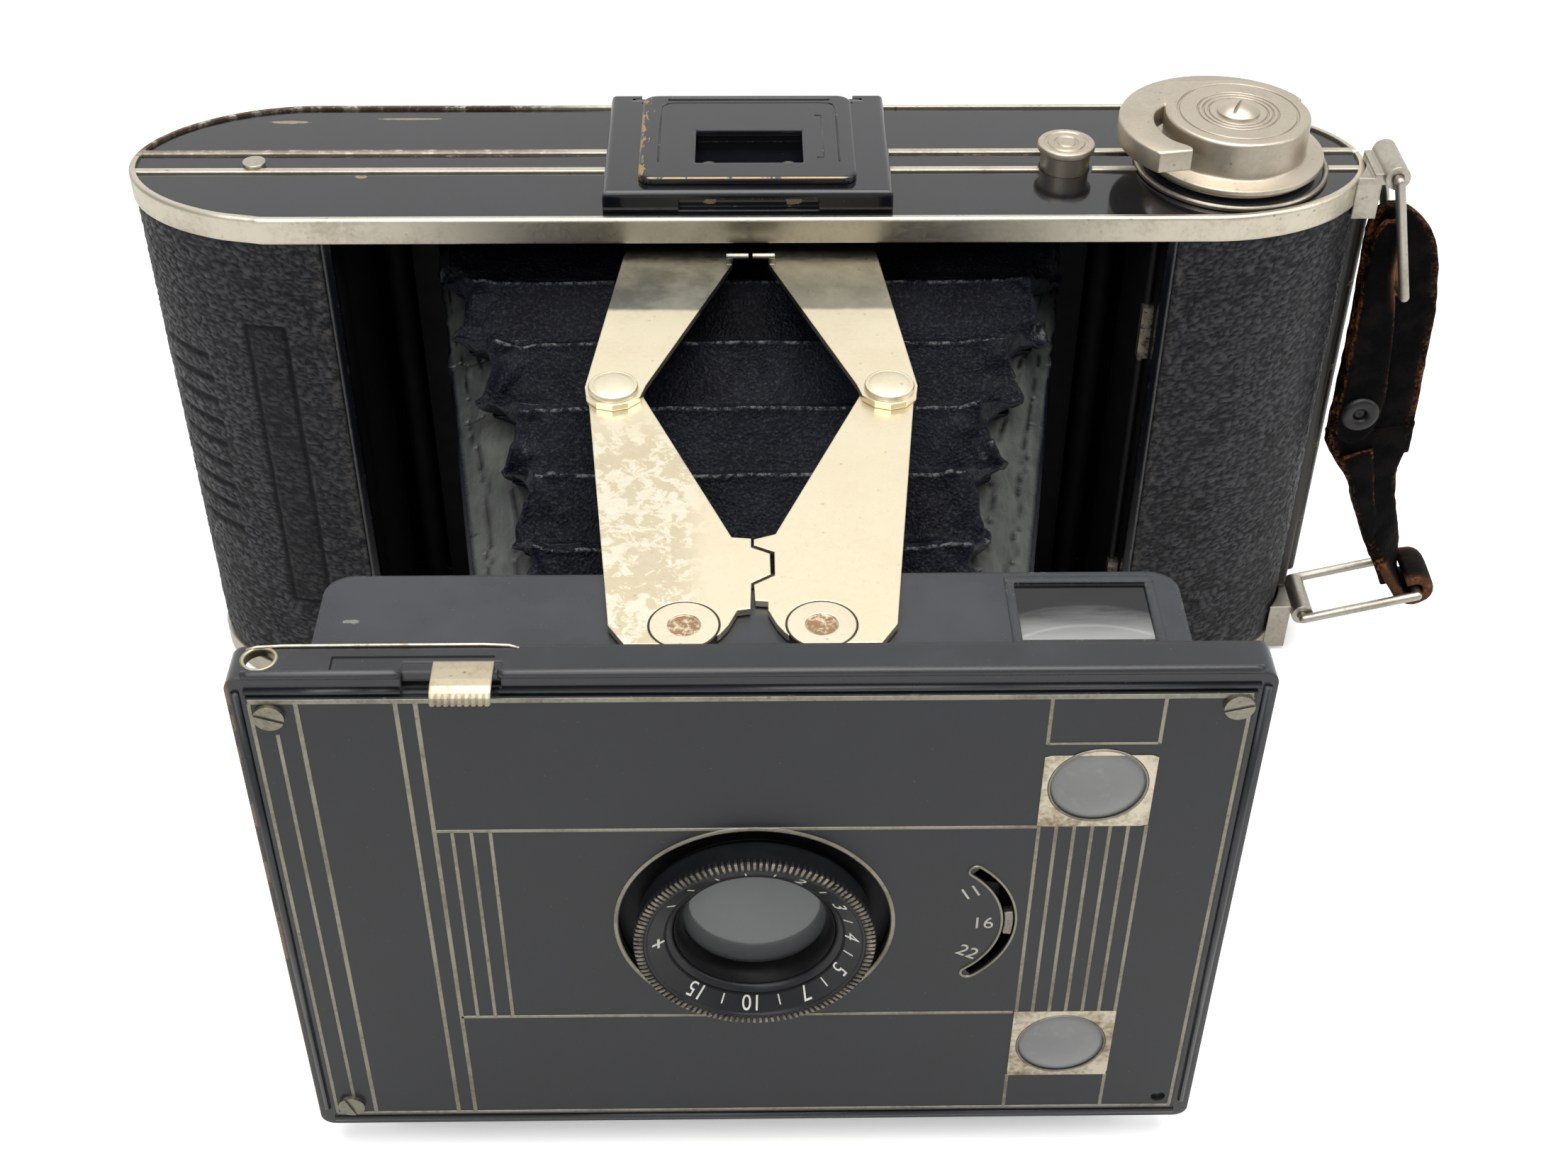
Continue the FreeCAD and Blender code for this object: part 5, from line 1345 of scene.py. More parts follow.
def build_face_lines():
    """Raised lines, a ring round the lens and the outline of the curved slot."""
    parts = Parts()

    def vertical(x, top, bottom, width=0.42):
        parts.box(x - width / 2, x + width / 2, LINE_FRONT, LINE_BACK,
                  MID_Z + bottom, MID_Z + top, chamfer=0.04)

    def horizontal(z, left, right, width=0.42):
        parts.box(left, right, LINE_FRONT, LINE_BACK,
                  MID_Z + z - width / 2, MID_Z + z + width / 2, chamfer=0.04)

    horizontal(33.75, -50.1, 49.9, width=0.62)
    horizontal(-33.45, -50.1, 49.9)
    vertical(-50.0, 33.5, -33.4)
    vertical(49.8, 33.5, -33.4)
    vertical(-47.75, 29.3, -33.3)
    for x in (-45.4, -35.55, -33.55):
        vertical(x, 33.5, -33.3, width=0.5)
    horizontal(15.1, -33.4, 29.9)
    horizontal(-15.6, -33.6, 29.6)
    for x in (-31.7, -29.7, -27.7):
        vertical(x, 15.0, -15.4)
    vertical(29.85, 33.5, 27.2)
    vertical(41.25, 33.5, 27.2)
    horizontal(27.25, 29.85, 41.3, width=0.3)
    for x in (30.0, 31.85, 33.75, 35.65, 37.55, 39.45, 41.35):
        vertical(x, 15.2, -15.5)
    vertical(29.8, -27.2, -33.3)
    vertical(41.4, -27.2, -33.3)
    parts.lathe([(14.98, -82.42), (14.90, -82.60), (15.05, -82.70), (15.32, -82.68),
                 (15.44, -82.6), (15.44, -82.45)], LENS, 180)

    wire_y, wire_radius, wire_sides = -82.52, 0.17, 8

    def wire(outline):
        parts.tube([(x, wire_y, z) for x, z in outline], wire_radius, wire_sides)

    for radius in (SLOT_RADIUS + SLOT_HALF_WIDTH, SLOT_RADIUS - SLOT_HALF_WIDTH):
        sweep = np.radians(np.linspace(-SLOT_HALF_ANGLE, SLOT_HALF_ANGLE, 60))
        wire([polar(SECTOR_X, LENS_Z, radius, angle) for angle in sweep])
    for side in (1, -1):
        angle = math.radians(SLOT_HALF_ANGLE * side)
        end = polar(SECTOR_X, LENS_Z, SLOT_RADIUS, angle)
        wire([polar(*end, SLOT_HALF_WIDTH, angle + side * math.pi * k / 12) for k in range(13)])
    attach(parts.done("face_lines", TARNISHED), "front_standard")


def curve_geometry(curve):
    """Vertices and faces of a filled curve, which is then removed."""
    obj = bpy.data.objects.new("outline", curve)
    SCENE.collection.objects.link(obj)
    depsgraph = bpy.context.evaluated_depsgraph_get()
    data = bpy.data.meshes.new_from_object(obj.evaluated_get(depsgraph))
    verts = np.array([v.co[:] for v in data.vertices], float).reshape(-1, 3)
    faces = [tuple(p.vertices) for p in data.polygons]
    bpy.data.objects.remove(obj)
    bpy.data.curves.remove(curve)
    bpy.data.meshes.remove(data)
    return verts, faces


def flat_shape(loops, half_thick):
    """Sheet bounded by the first loop, with the others as holes."""
    curve = bpy.data.curves.new("outline", "CURVE")
    curve.dimensions = "2D"
    curve.fill_mode = "BOTH"
    curve.extrude = half_thick
    for loop in loops:
        spline = curve.splines.new("POLY")
        spline.points.add(len(loop) - 1)
        for spline_point, (x, y) in zip(spline.points, loop):
            spline_point.co = (x, y, 0, 1)
        spline.use_cyclic_u = True
    return curve_geometry(curve)


def circle(center, radius, count):
    return [polar(*center, radius, 2 * math.pi * k / count) for k in range(count)]


def sector_outline():
    def arc(radius, start, sweep, steps):
        return [polar(SECTOR_X, LENS_Z, radius, math.radians(start + sweep * k / steps))
                for k in range(steps + 1)]

    arm = [(0, -3.2), (2.6, -2.0), (11.2, -0.9), (11.2, 0.9), (2.6, 2.0), (0, 3.2)]
    return (arc(23.0, 180 - 56, 112, 30) + arc(11.2, 180 + 56, -36, 6)
            + [(SECTOR_X + x, LENS_Z + z) for x, z in arm] + arc(11.2, 160, -36, 6))


def build_stop_sector():
    """Sheet with three openings, a pin and a knurled thumb piece in the curved slot."""
    parts = Parts()
    # Openings: radius, angle in degrees; they lie as far from the pivot as the lens does.
    openings = ((3.3, 180), (4.75, 142), (2.4, 218))
    holes = [circle(polar(SECTOR_X, LENS_Z, SECTOR_X, math.radians(angle)), radius, 40)
             for radius, angle in openings]
    holes.append(circle((SECTOR_X, LENS_Z), 0.95, 24))
    verts, faces = flat_shape([sector_outline()] + holes, 0.25)
    parts.add(np.column_stack([verts[:, 0], -77.35 - verts[:, 2], verts[:, 1]]), faces)
    parts.lathe([(0.0001, -82.0), (0.55, -82.0), (0.55, -77.2), (0.0001, -77.2)],
                (SECTOR_X + SLOT_RADIUS, LENS_Z), 24)

    segments, start, end = 36, -9.0, 9.4
    verts = []
    for k in range(segments + 1):
        angle = math.radians(start + (end - start) * k / segments)
        tooth = 0.10 * (k % 4 in (0, 1))
        for offset, y in ((-0.52, -81.7), (-0.52, -82.35 - tooth), (-0.38, -82.58 - tooth),
                          (0.38, -82.58 - tooth), (0.52, -82.35 - tooth), (0.52, -81.7)):
            x, z = polar(SECTOR_X, LENS_Z, SLOT_RADIUS + offset, angle)
            verts.append((x, y, z))
    caps = [tuple(range(6))[::-1], tuple(segments * 6 + a for a in range(6))]
    parts.add(verts, loft_faces(segments + 1, 6) + caps, material=1)
    attach(parts.done("stop_sector_fine", LACQUER, DULL), "stop_sector",
           replaces="stop_sector")


def plate_with_hole(x0, x1, z0, z1, center, radius, y0, y1, segments=72):
    center_x, center_z = center
    verts = []
    for k in range(segments):
        angle = 2 * math.pi * k / segments
        cosine, sine = math.cos(angle), math.sin(angle)
        reach_x = ((x1 if cosine > 0 else x0) - center_x) / cosine if abs(cosine) > 1e-9 else 1e9
        reach_z = ((z1 if sine > 0 else z0) - center_z) / sine if abs(sine) > 1e-9 else 1e9
        reach = min(reach_x, reach_z)
        for r, y in ((radius, y1), (radius + 0.05, y0), (reach, y0), (reach, y1)):
            verts.append((center_x + r * cosine, y, center_z + r * sine))
    return verts, loft_faces(segments, 4, closed=True)


def build_finder_windows():
    """Square plated frames and thin round rims of the two finder lenses."""
    parts = Parts()
    center_x = 0.5 * (29.85 + 41.4)
    for right, bottom, top, center_z in ((41.45, 15.25, 25.6, UPPER_WINDOW_Z),
                                         (41.55, -27.2, -15.5, LOWER_WINDOW_Z)):
        parts.add(*plate_with_hole(29.75, right, MID_Z + bottom, MID_Z + top,
                                   (center_x, center_z), 5.22, -82.62, -82.46))
    attach(parts.done("finder_window_frames", WORN_PLATING), "front_standard")

    parts = Parts()
    for center_z in (UPPER_WINDOW_Z, LOWER_WINDOW_Z):
        parts.lathe([(5.0, -82.4), (5.0, -82.66), (5.1, -82.70), (5.2, -82.64),
                     (5.22, -82.4)], (35.62, center_z), 96)
    attach(parts.done("finder_lens_rims", DULL, smooth=True), "front_standard")


def put_text(parts, text, size, x, z, y, angle):
    """Raised text facing -Y, centred at (x, z) and turned by angle."""
    curve = bpy.data.curves.new("text", "FONT")
    curve.body = text
    curve.size = size
    curve.align_x = "CENTER"
    curve.align_y = "CENTER"
    curve.extrude = 0.03
    curve.resolution_u = 4
    verts, faces = curve_geometry(curve)
    cosine, sine = math.cos(angle), math.sin(angle)
    parts.add(np.column_stack([x + verts[:, 0] * cosine - verts[:, 1] * sine,
                               y - verts[:, 2],
                               z + verts[:, 0] * sine + verts[:, 1] * cosine]), faces)


def build_stop_numerals():
    parts = Parts()
    for text, x, z, degrees in (("11", 23.5, 4.9, 28), ("16", 25.1, -0.1, 0),
                                ("22", 23.7, -4.9, -28)):
        put_text(parts, text, 2.5, x, LENS_Z + z, -82.53, math.radians(degrees))
    attach(parts.done("stop_numerals", GREY), "front_standard")


# ------------------------------------------------------------------ focusing ring and lens cell
TEETH = 120
# Tooth sections, outer skin then inner skin: radius, y, half width.
TOOTH = [(12.16, -85.70, 0.13), (12.62, -85.70, 0.145), (13.10, -85.62, 0.155),
         (13.24, -85.40, 0.155), (13.24, -84.95, 0.13), (13.02, -84.72, 0.11),
         (12.14, -85.44, 0.22), (12.55, -85.40, 0.24), (12.88, -85.32, 0.255),
         (12.90, -85.10, 0.255), (12.90, -84.90, 0.25), (12.80, -84.60, 0.20)]
SCALE_RADIUS = 10.5


def dish(radius):
    """Y of the dished face that carries the distance scale."""
    return -83.78 - (np.asarray(radius, float) - 9.1) * 0.62


def tooth_faces():
    faces = []
    for i in range(0, 10, 2):
        j = 12 + i
        faces += [(i, i + 1, i + 3, i + 2), (j, j + 2, j + 3, j + 1),
                  (i, i + 2, j + 2, j), (i + 1, j + 1, j + 3, i + 3)]
    return faces + [(0, 12, 13, 1), (10, 11, 23, 22)]


def build_focusing_ring():
    parts = Parts()
    rim = [(10.2, -82.2), (12.85, -82.2), (12.85, -84.5), (12.95, -84.9), (12.95, -85.35),
           (12.55, -85.45), (12.12, -85.52), (12.05, -85.62), (11.92, -85.64),
           (11.80, -85.56)]
    face = [(float(r), float(dish(r))) for r in np.linspace(11.7, 9.15, 7)]
    bore = [(9.02, -83.66), (8.94, -83.45), (8.94, -83.2), (10.2, -83.2)]
    parts.lathe(rim + face + bore, LENS, 240)
    for k in range(TEETH):
        angle = 2 * math.pi * (k + 0.12 * math.sin(k * 12.9)) / TEETH
        cosine, sine = math.cos(angle), math.sin(angle)
        parts.add([(r * cosine - shift * sine, y, LENS_Z + r * sine + shift * cosine)
                   for r, y, half_width in TOOTH for shift in (-half_width, half_width)],
                  tooth_faces(), material=1)
    ring = parts.done("focusing_ring_fine", LACQUER, ring_tooth_finish())
    polygons = ring.data.polygons
    polygons.foreach_set("use_smooth", [p.material_index == 0 for p in polygons])
    ring.data.set_sharp_from_angle(angle=math.radians(22))
    attach(ring, "focusing_ring", replaces="focusing_ring")


def build_lens_cell():
    parts = Parts()
    parts.lathe([(10.1, -83.10), (8.90, -83.10), (8.88, -83.42), (8.76, -83.48),
                 (8.58, -83.30), (8.25, -82.85), (8.05, -82.45), (7.95, -82.05),
                 (7.95, -81.2), (9.6, -81.2), (9.6, -79.7), (10.1, -79.7)], LENS, 200)
    cell = parts.done("front_lens_cell_fine", DEEP_BLACK, smooth=True, sharp=35)
    attach(cell, "focusing_ring", replaces="front_lens_cell")


def build_distance_scale():
    """Numbers, ticks and an index cross, laid out flat and then dropped onto the dish."""
    parts = Parts()
    box_faces = [(0, 1, 3, 2), (4, 6, 7, 5), (0, 4, 5, 1), (2, 3, 7, 6), (0, 2, 6, 4),
                 (1, 5, 7, 3)]
    depths = (0.02, -0.04)
    for text, degrees in (("2", 62), ("3", 30), ("4", 2), ("5", -28), ("7", -58),
                          ("10", -92), ("15", -128)):
        angle = math.radians(degrees)
        put_text(parts, text, 2.3, *polar(*LENS, SCALE_RADIUS, angle), -0.02,
                 angle - math.pi / 2)
    for degrees in (78, 46, 16, -13, -43, -75, -110, 95, 112, 130, 148):
        angle = math.radians(degrees)
        cosine, sine = math.cos(angle), math.sin(angle)
        parts.add([(r * cosine - w * sine, y, LENS_Z + r * sine + w * cosine)
                   for y in depths for r in (10.0, 11.05) for w in (-0.085, 0.085)], box_faces)
    for half_height, half_length in ((0.14, 0.7), (0.7, 0.14)):
        parts.add([(-SCALE_RADIUS + i * half_length, y, LENS_Z - 0.5 + j * half_height)
                   for y in depths for i in (-1, 1) for j in (-1, 1)], box_faces)
    for verts in parts.verts:
        verts[:, 1] += dish(np.hypot(verts[:, 0], verts[:, 2] - LENS_Z))
    attach(parts.done("distance_scale", WHITE), "focusing_ring")


# ------------------------------------------------------------------ front standard
# Lever sheet from back to front: y, z, share bent down, share of the notch depth.
LEVER_SHEET = [(-80.35, 77.62, 0, 0), (-81.5, 77.67, 0, 0), (-83.0, 77.68, 0, 0),
               (-84.0, 77.63, 0, 0), (-84.60, 77.50, 0.25, 0), (-84.92, 77.26, 0.5, 0.35),
               (-85.03, 77.02, 0.75, 0.8), (-85.06, 76.78, 1.0, 1.0)]


def build_standard_details():
    """Rolled lips, rubbed rear edge, slot, eyelet and a web under the lever."""
    parts = Parts()
    for x0, x1 in ((-50.6, -34.7), (-25.35, 50.8)):
        parts.tube([(x0 + 0.2, -81.55, 77.45), (x0 + 0.8, -81.62, 77.55),
                    (x1 - 0.8, -81.62, 77.55), (x1 - 0.2, -81.55, 77.45)], 0.5, 14)
        parts.tube([(x0 + 0.2, -82.12, 75.75), (x1 - 0.2, -82.12, 75.75)], 0.33, 12)
    for x in (-51.3, 51.3):
        parts.tube([(x, -82.0, 8.0), (x, -82.05, 40.0), (x, -82.0, 75.6)], 0.45, 12)
    parts.tube([(-50.6, -82.0, 6.0), (0, -82.05, 5.9), (50.6, -82.0, 6.0)], 0.42, 12)
    attach(parts.done("standard_lips", STANDARD, smooth=True), "front_standard")

    parts = Parts()
    parts.tube([(-50.6, -77.9, 77.52), (-49.6, -77.55, 77.62), (-47.0, -77.42, 77.66),
                (-36, -77.4, 77.68), (-27, -77.4, 77.68), (-24.4, -77.5, 77.62),
                (-23.4, -77.8, 77.5)], 0.17, 10)
    attach(parts.done("standard_rubbed_edge", WORN_PLATING, smooth=True), "front_standard")

    parts = Parts()
    parts.box(-41.8, -25.7, -79.18, -78.86, 77.46, 77.515)
    parts.box(-41.95, -41.75, -80.9, -78.9, 77.46, 77.51)
    attach(parts.done("standard_slot", DEEP_BLACK), "front_standard")

    parts = Parts()
    parts.lathe([(1.47, 76.55), (1.47, 77.5), (1.56, 77.60), (1.80, 77.58), (1.92, 77.5),
                 (1.59, 77.47), (1.59, 76.55)], (-49.1, -79.15), 64, axis="z")
    attach(parts.done("release_eyelet", LEVER, smooth=True), "front_standard",
           replaces="cable_release_socket")

    parts = Parts()
    parts.box(-34.8, -24.9, -81.35, -79.9, 76.4, 77.495)
    attach(parts.done("standard_lip_web", STANDARD), "front_standard")


def build_shutter_lever():
    """Thin sheet, bent down and notched in front."""
    left, right, thickness = -31.65, -25.6, 0.5
    notch_depth, notches, segments = 0.30, 9, 36
    n = len(LEVER_SHEET)
    verts, faces = [], []
    for i in range(segments + 1):
        x = left + (right - left) * i / segments
        wave = notch_depth * max(0.0, math.cos(2 * math.pi * notches * i / segments))
        verts += [(x, y - (thickness - wave * notch) * bend,
                   z + (thickness - wave * notch) * (1 - bend))
                  for y, z, bend, notch in LEVER_SHEET]
        verts += [(x, y, z) for y, z, _, _ in LEVER_SHEET]
    for i in range(segments):
        a, b = i * 2 * n, (i + 1) * 2 * n
        for k in range(n - 1):
            faces.append((a + k, b + k, b + k + 1, a + k + 1))
            faces.append((a + n + k, a + n + k + 1, b + n + k + 1, b + n + k))
        faces.append((a, a + n, b + n, b))
        faces.append((a + n - 1, b + n - 1, b + 2 * n - 1, a + 2 * n - 1))
    for a, turn in ((0, 1), (segments * 2 * n, -1)):
        faces += [(a + k, a + k + 1, a + n + k + 1, a + n + k)[::turn] for k in range(n - 1)]
    parts = Parts()
    parts.add(verts, faces)
    lever = parts.done("shutter_lever_fine", LEVER)
    add_bevel(lever, width=0.00012).angle_limit = math.radians(50)
    attach(lever, "shutter_lever", replaces="shutter_lever")


def build_roof_window_frame():
    """Raised frame on three sides of the finder window in the box's roof."""
    parts = Parts()
    for x0, x1, y0, y1 in ((26.6, 42.4, -65.4, -64.3), (26.6, 27.6, -76.0, -65.4),
                           (41.4, 42.4, -76.0, -65.4)):
        parts.box(x0, x1, y0, y1, 75.1, 75.36)
    frame = parts.done("roof_window_frame", BOX)
    add_bevel(frame, width=0.00010)
    attach(frame, "front_standard")


# ------------------------------------------------------------------ finder plate on the body
def rounded_rectangle(x0, x1, y0, y1, radius, steps=10):
    corners = ((x1 - radius, y1 - radius, 0), (x0 + radius, y1 - radius, 90),
               (x0 + radius, y0 + radius, 180), (x1 - radius, y0 + radius, 270))
    return np.array([polar(x, y, radius, math.radians(start + 90 * k / steps))
                     for x, y, start in corners for k in range(steps + 1)])


def offset_loop(outline, distance):
    """Outline moved away from its middle by distance."""
    middle = outline.mean(0)
    arms = outline - middle
    return middle + arms * (1 + distance / np.linalg.norm(arms, axis=1))[:, None]


def build_finder_plate():
    """Sheet with rounded edges and a window, beads on it and two studs below."""
    outer = rounded_rectangle(-14.4, 13.7, 3.1, 26.3, 1.9)
    window = rounded_rectangle(-7.1, 6.9, 7.2, 16.2, 0.25)
    # Loops of the section: outline, offset, z.
    section = [(outer, 0.0, 85.02), (outer, 0.0, 85.72), (outer, -0.10, 85.84),
               (outer, -0.26, 85.89), (outer, -0.6, PLATE_Z), (outer, -1.0, PLATE_Z),
               (window, 0.9, PLATE_Z), (window, 0.35, PLATE_Z), (window, 0.08, 85.89),
               (window, 0.0, 85.82), (window, 0.0, 85.02)]
    parts = Parts()
    parts.add([(x, y, z) for outline, offset, z in section
               for x, y in offset_loop(outline, offset)],
              loft_faces(len(section), len(outer), closed=True))
    plate = parts.done("finder_plate_fine", FINDER_PLATE, smooth=True, sharp=40)
    attach(plate, "finder_frame", replaces="finder_frame_plate")

    parts = Parts()
    parts.tube([(-11.9, 7.6, 85.88), (-11.9, 22.6, PLATE_Z), (-11.6, 23.4, PLATE_Z),
                (-10.9, 23.9, PLATE_Z), (-9.8, 24.1, PLATE_Z), (9.6, 24.1, PLATE_Z),
                (10.7, 23.9, PLATE_Z), (11.3, 23.4, PLATE_Z), (11.6, 22.4, PLATE_Z),
                (11.6, 7.6, 85.88)], 0.13, 8)
    parts.tube([(8.7, 20.3, 85.87), (9.6, 20.3, 85.88), (9.6, 8.6, 85.88),
                (8.7, 8.6, 85.87)], 0.10, 8)
    parts.tube([(-11.0, 24.9, 85.84), (-10.6, 25.05, 85.93), (10.4, 25.05, 85.93),
                (10.8, 24.9, 85.84)], 0.20, 10)
    attach(parts.done("finder_plate_beads", FINDER, smooth=True), "finder_frame")

    parts = Parts()
    for x in (-5.4, 5.0):
        parts.lathe([(0.0001, 84.0), (1.15, 84.0), (1.15, 84.62), (1.0, 84.86),
                     (0.6, 84.98), (0.0001, 85.0)], (x, 8.55), 40, axis="z")
    attach(parts.done("finder_studs", STAY, smooth=True), "body")


# ------------------------------------------------------------------ knob, button and rivet caps
# Outer edge of the knob's wing: angle in degrees, radius.
WING_EDGE = np.array([(23, 10.0), (40, 10.05), (60, 10.2), (90, 10.75), (115, 11.9),
                      (140, 13.4), (165, 14.9), (190, 16.1), (207, 16.45), (223, 16.4)])
# Inner edge of the wing: x, y from the knob's axis.
WING_INNER = [(-7.9, -10.8), (-7.1, -9.5), (-8.3, -8.7), (-9.9, -7.6), (-10.9, -5.6),
              (-11.4, -3.4), (-11.4, -1.4), (-10.9, 0.6), (-9.2, 2.4)]


def wing_outline():
    angles = np.linspace(23, 223, 90)
    fit = np.polyfit((WING_EDGE[:, 0] - 120) / 100, WING_EDGE[:, 1], 6)
    radii = np.polyval(fit, (angles - 120) / 100)
    outer = [polar(0, 0, r, math.radians(a)) for a, r in zip(angles, radii)]
    inner = [tuple(p) for p in smooth_path(WING_INNER, 40)[1:]]
    core = [polar(0, 0, 8.6, math.radians(a)) for a in np.linspace(165, 23, 50)]
    return np.array(outer + inner + core)


def build_knob():
    """Turned knob with four grooves in its top, a skirt and a spiral wing."""
    top = KNOB_TOP
    profile = [(1.2, top - 0.9), (1.2, top - 0.02), (1.35, top)]
    for r0, r1 in ((3.75, 4.0), (4.45, 4.7), (5.15, 5.4), (7.65, 7.95)):
        profile += [(r0 - 0.05, top), (r0 + 0.02, top - 0.22), (r1 - 0.02, top - 0.22),
                    (r1 + 0.05, top)]
    profile += [(9.05, top), (9.3, top - 0.06), (9.45, top - 0.2), (9.5, top - 0.4),
                (9.5, 84.75), (9.55, 84.5), (9.75, 84.32), (11.75, 84.12), (11.95, 84.05),
                (12.0, 83.9), (12.0, 83.45), (11.85, 83.32), (11.35, 83.25),
                (11.3, 82.75), (3.0, 82.72), (3.0, top - 0.9)]
    parts = Parts()
    parts.lathe(profile, (KNOB_X, KNOB_Y), 160, axis="z")

    outline = wing_outline()
    n = len(outline)
    tangents = np.roll(outline, -1, axis=0) - np.roll(outline, 1, axis=0)
    tangents /= np.linalg.norm(tangents, axis=1)[:, None]
    normals = np.column_stack([tangents[:, 1], -tangents[:, 0]])
    levels = [(0.0, 86.45), (0.0, 89.02), (0.07, 89.16), (0.22, 89.24)]    # inset, z
    verts = [(KNOB_X + p[0] - q[0] * inset, KNOB_Y + p[1] - q[1] * inset, z)
             for inset, z in levels for p, q in zip(outline, normals)]
    last = (len(levels) - 1) * n
    caps = [tuple(range(n))[::-1], tuple(range(last, last + n))]
    parts.add(verts, loft_faces(len(levels), n) + caps)
    attach(parts.done("winding_knob_fine", KNOB, smooth=True, sharp=38), "winding_knob",
           replaces="winding_knob")

    parts = Parts()
    parts.lathe([(2.6, 81.75), (12.15, 81.75), (12.15, 82.05), (12.0, 82.15), (2.6, 82.18)],
                (KNOB_X, KNOB_Y), 120, axis="z")
    parts.lathe([(12.22, 81.72), (12.9, 81.72), (12.88, 82.1), (12.7, 82.32),
                 (12.45, 82.34), (12.22, 82.2)], (KNOB_X, KNOB_Y), 160, axis="z")
    attach(parts.done("knob_base_fine", KNOB_BASE, smooth=True, sharp=35), "body",
           replaces="knob_base")


def build_release_button():
    top = 85.3
    # Radius, depth below the button's top.
    turned = [(0.0001, 0.02), (1.15, 0.02), (1.22, 0.16), (1.55, 0.16), (1.62, 0.0),
              (2.4, 0.0), (2.48, 0.16), (2.88, 0.16), (2.95, 0.02), (3.45, 0.02),
              (3.7, 0.14), (3.8, 0.35), (3.8, 0.85), (3.7, 0.97), (3.4, 1.05), (3.25, 1.2)]
    profile = [(radius, top - depth) for radius, depth in turned]
    parts = Parts()
    parts.lathe(profile + [(3.25, 80.1), (0.0001, 80.1)], (41.9, 13.85), 96, axis="z")
    attach(parts.done("release_button_fine", KNOB, smooth=True, sharp=38), "release_button",
           replaces="release_button")


def build_elbow_caps():
    """Turned caps on the elbow rivets; the bottom ones mirror the top ones."""
    profile = [(0.0001, 77.92), (0.9, 77.90), (1.9, 77.83), (2.45, 77.72), (2.55, 77.66),
               (2.62, 77.72), (2.85, 77.66), (2.96, 77.45), (2.97, 77.10), (0.0001, 77.10)]
    mirrored = [(radius, 2 * MID_Z - z) for radius, z in profile]
    for side, sign in (("left", -1), ("right", 1)):
        for level, outline in (("top", profile), ("bottom", mirrored)):
            parts = Parts()
            parts.lathe(outline, (sign * ELBOW_X, ELBOW_Y), 80, axis="z")
            cap = parts.done(f"elbow_cap_{level}_{side}", RIVET, smooth=True, sharp=38)
            attach(cap, f"stay_rear_{level}_{side}")


# ------------------------------------------------------------------ stage, light, viewpoint
def floor_finish():
    """Pale sweep with its own glow to the viewer, brighter far behind."""
    mat = Material("pale_floor")
    base = (0.92, 0.92, 0.915)
    camera_ray = mat.out(mat.node("ShaderNodeLightPath"), "Is Camera Ray")
    color = mat.mix(mat.noise(scale=0.004, detail=3) * 0.08, base, gain(base, 0.95))
    color = mat.mix(camera_ray, gain(base, 0.70), color)
    glow = mat.node("ShaderNodeEmission")
    mat.put(glow, "Color", (1.0, 0.995, 0.98, 1))
    far = mat.xyz()[1].ramp(start=500.0, end=1000.0)
    mat.put(glow, "Strength", camera_ray * 0.30 + far * 0.52)
    total = mat.node("ShaderNodeAddShader")
    mat.put(total, 0, mat.surface(color, rough=0.75, spec=0.1))
    mat.put(total, 1, mat.out(glow))
    return mat.finish(mat.out(total))


def build_floor():
    """Flat floor that curves up behind the camera into a wall."""
    half_width, front, bend, radius, drop = 2600.0, -1400.0, 900.0, 500, 0.15
    profile = [(front, 0.0), (bend, 0.0)]
    for k in range(1, 25):
        angle = math.pi / 2 * k / 24
        profile.append((bend + radius * math.sin(angle), radius - radius * math.cos(angle)))
    profile.append((bend + radius, 2200.0))
    verts = [(x, y, z - drop) for y, z in profile for x in (-half_width, half_width)]
    faces = [(2 * i, 2 * i + 1, 2 * i + 3, 2 * i + 2) for i in range(len(profile) - 1)]
    make_mesh("floor", verts, faces, [floor_finish()], recalc=False)


def area_light(name, location, target, size, power, color):
    """Square light; location and target are in metres."""
    light = bpy.data.lights.new(name, "AREA")
    light.shape = "RECTANGLE"
    light.size = size
    light.size_y = size
    light.energy = power
    light.color = color
    obj = bpy.data.objects.new(name, light)
    SCENE.collection.objects.link(obj)
    obj.location = location
    obj.rotation_mode = "QUATERNION"
    obj.rotation_quaternion = (Vector(target) - Vector(location)).to_track_quat("-Z", "Y")


def build_lights():
    area_light("key_overhead", location=(0.05, -0.05, 0.95), target=(0, -0.03, 0.03),
               size=0.9, power=11.0, color=(1.0, 0.985, 0.96))
    area_light("fill_front", location=(-0.35, -0.75, 0.80), target=(0, -0.05, 0.05),
               size=0.7, power=3.4, color=(0.97, 0.985, 1.0))
    area_light("fill_right", location=(0.85, -0.2, 0.55), target=(0, 0, 0.04),
               size=0.5, power=2.0, color=(1.0, 0.99, 0.97))


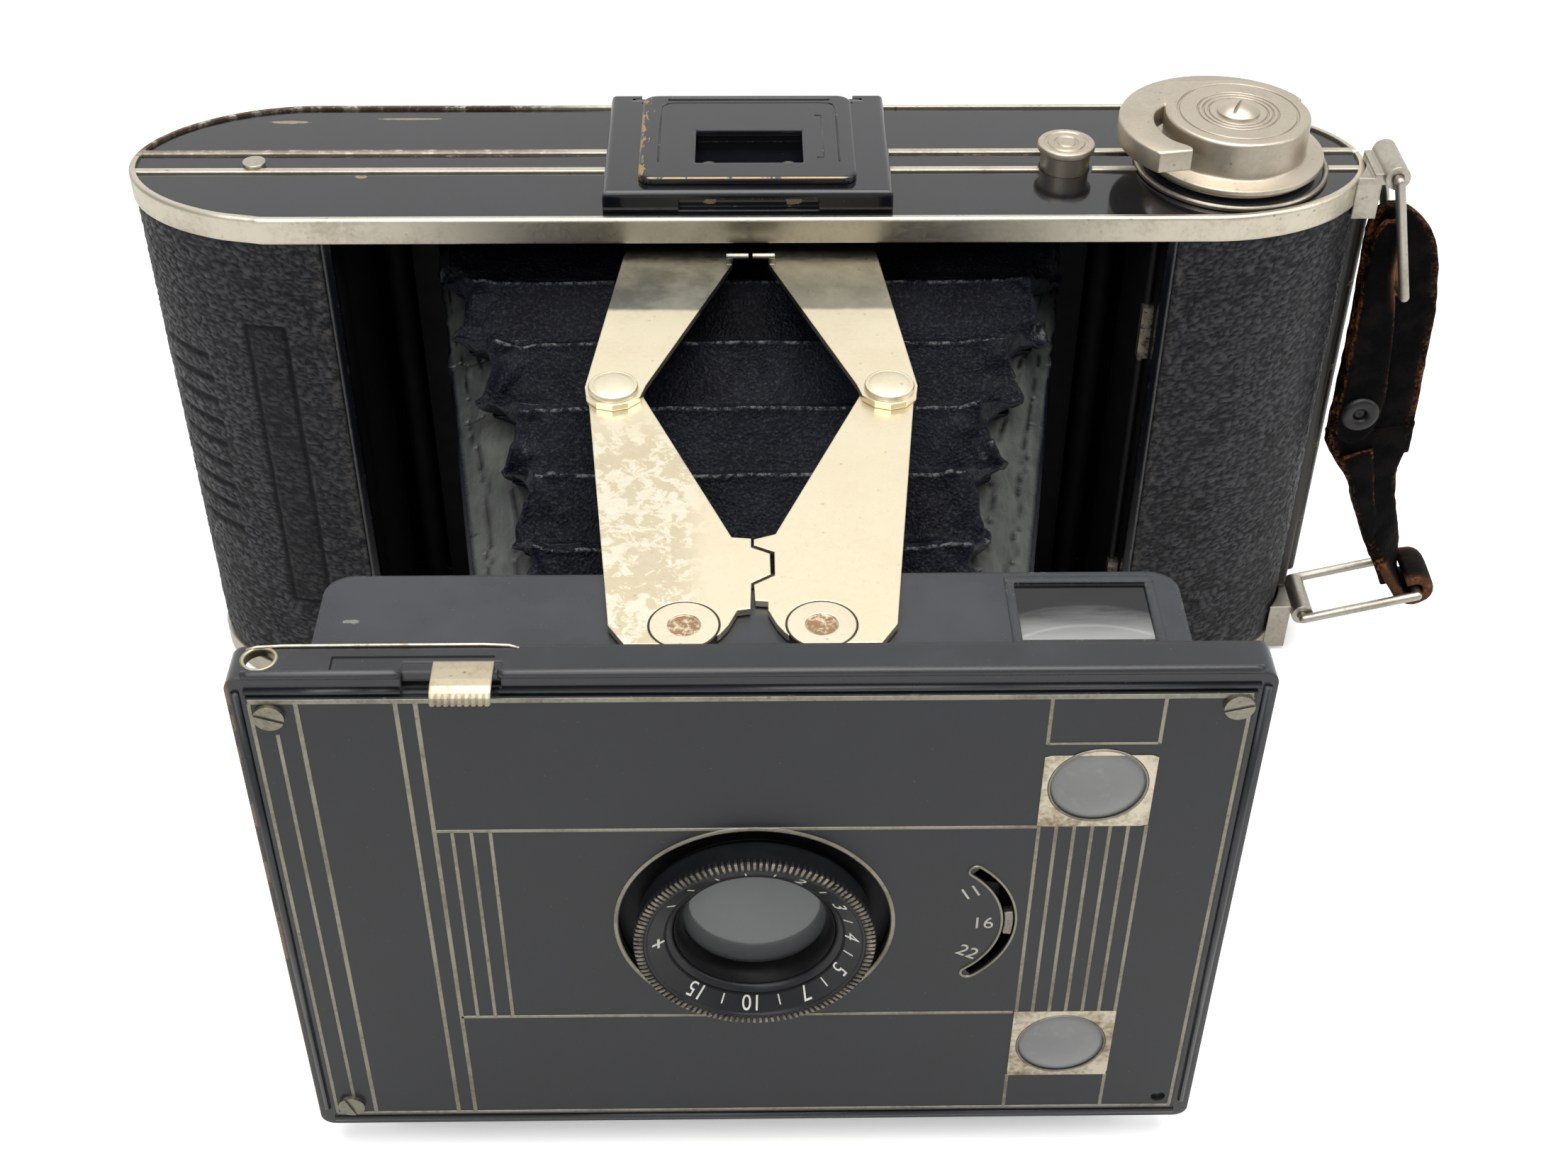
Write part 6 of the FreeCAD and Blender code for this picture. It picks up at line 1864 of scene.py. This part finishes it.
def build_world():
    """Grey ramp over height for lighting; near-white where the viewer sees it directly."""
    world = bpy.data.worlds.new("studio")
    SCENE.world = world
    world.use_nodes = True
    nodes, link = world.node_tree.nodes, world.node_tree.links.new
    nodes.clear()
    output = nodes.new("ShaderNodeOutputWorld")
    coords = nodes.new("ShaderNodeTexCoord")
    separate = nodes.new("ShaderNodeSeparateXYZ")
    ramp = nodes.new("ShaderNodeValToRGB")
    low, high = ramp.color_ramp.elements
    low.position = 0.0
    low.color = (0.62, 0.63, 0.64, 1)
    high.position = 1.0
    high.color = (0.62, 0.63, 0.65, 1)
    ramp.color_ramp.elements.new(0.45).color = (0.46, 0.47, 0.485, 1)
    lighting = nodes.new("ShaderNodeBackground")
    lighting.inputs["Strength"].default_value = 0.85
    seen = nodes.new("ShaderNodeBackground")
    seen.inputs["Color"].default_value = (0.97, 0.97, 0.965, 1)
    seen.inputs["Strength"].default_value = 1.0
    light_path = nodes.new("ShaderNodeLightPath")
    mixer = nodes.new("ShaderNodeMixShader")
    link(coords.outputs["Generated"], separate.inputs[0])
    link(separate.outputs[2], ramp.inputs[0])
    link(ramp.outputs[0], lighting.inputs["Color"])
    link(light_path.outputs["Is Camera Ray"], mixer.inputs[0])
    link(lighting.outputs[0], mixer.inputs[1])
    link(seen.outputs[0], mixer.inputs[2])
    link(mixer.outputs[0], output.inputs[0])


def build_camera():
    """Viewpoint in front of and above the product, looking back and down."""
    yaw, pitch, roll = [math.radians(degrees) for degrees in (1.186, 39.853, 0.427)]
    forward = Vector((math.sin(yaw) * math.cos(pitch), math.cos(yaw) * math.cos(pitch),
                      -math.sin(pitch)))
    level_right = Vector((math.cos(yaw), -math.sin(yaw), 0))
    level_up = level_right.cross(forward)
    right = math.cos(roll) * level_right + math.sin(roll) * level_up
    up = -math.sin(roll) * level_right + math.cos(roll) * level_up
    camera = bpy.data.cameras.new("camera")
    camera.sensor_width = 36.0
    camera.lens = 47.220217
    camera.clip_start = 0.01
    camera.clip_end = 20.0
    obj = bpy.data.objects.new("camera", camera)
    SCENE.collection.objects.link(obj)
    rows = zip(right, up, -forward, point(-0.15, -232.26, 214.11))
    obj.matrix_world = Matrix((*rows, (0, 0, 0, 1)))
    SCENE.camera = obj


def set_render():
    view, cycles = SCENE.view_settings, SCENE.cycles
    view.view_transform = "Standard"
    view.look = "None"
    view.exposure = 0.0
    cycles.use_denoising = True
    cycles.max_bounces = 8
    cycles.diffuse_bounces = 3
    cycles.glossy_bounces = 4
    cycles.transmission_bounces = 6
    cycles.transparent_max_bounces = 8


finish_pieces()
build_coverings()
build_bellows()
build_strap()
build_strap_stud()
build_face_lines()
build_stop_sector()
build_finder_windows()
build_stop_numerals()
build_focusing_ring()
build_lens_cell()
build_distance_scale()
build_standard_details()
build_shutter_lever()
build_roof_window_frame()
build_finder_plate()
build_knob()
build_release_button()
build_elbow_caps()
build_floor()
build_lights()
build_world()
build_camera()
set_render()
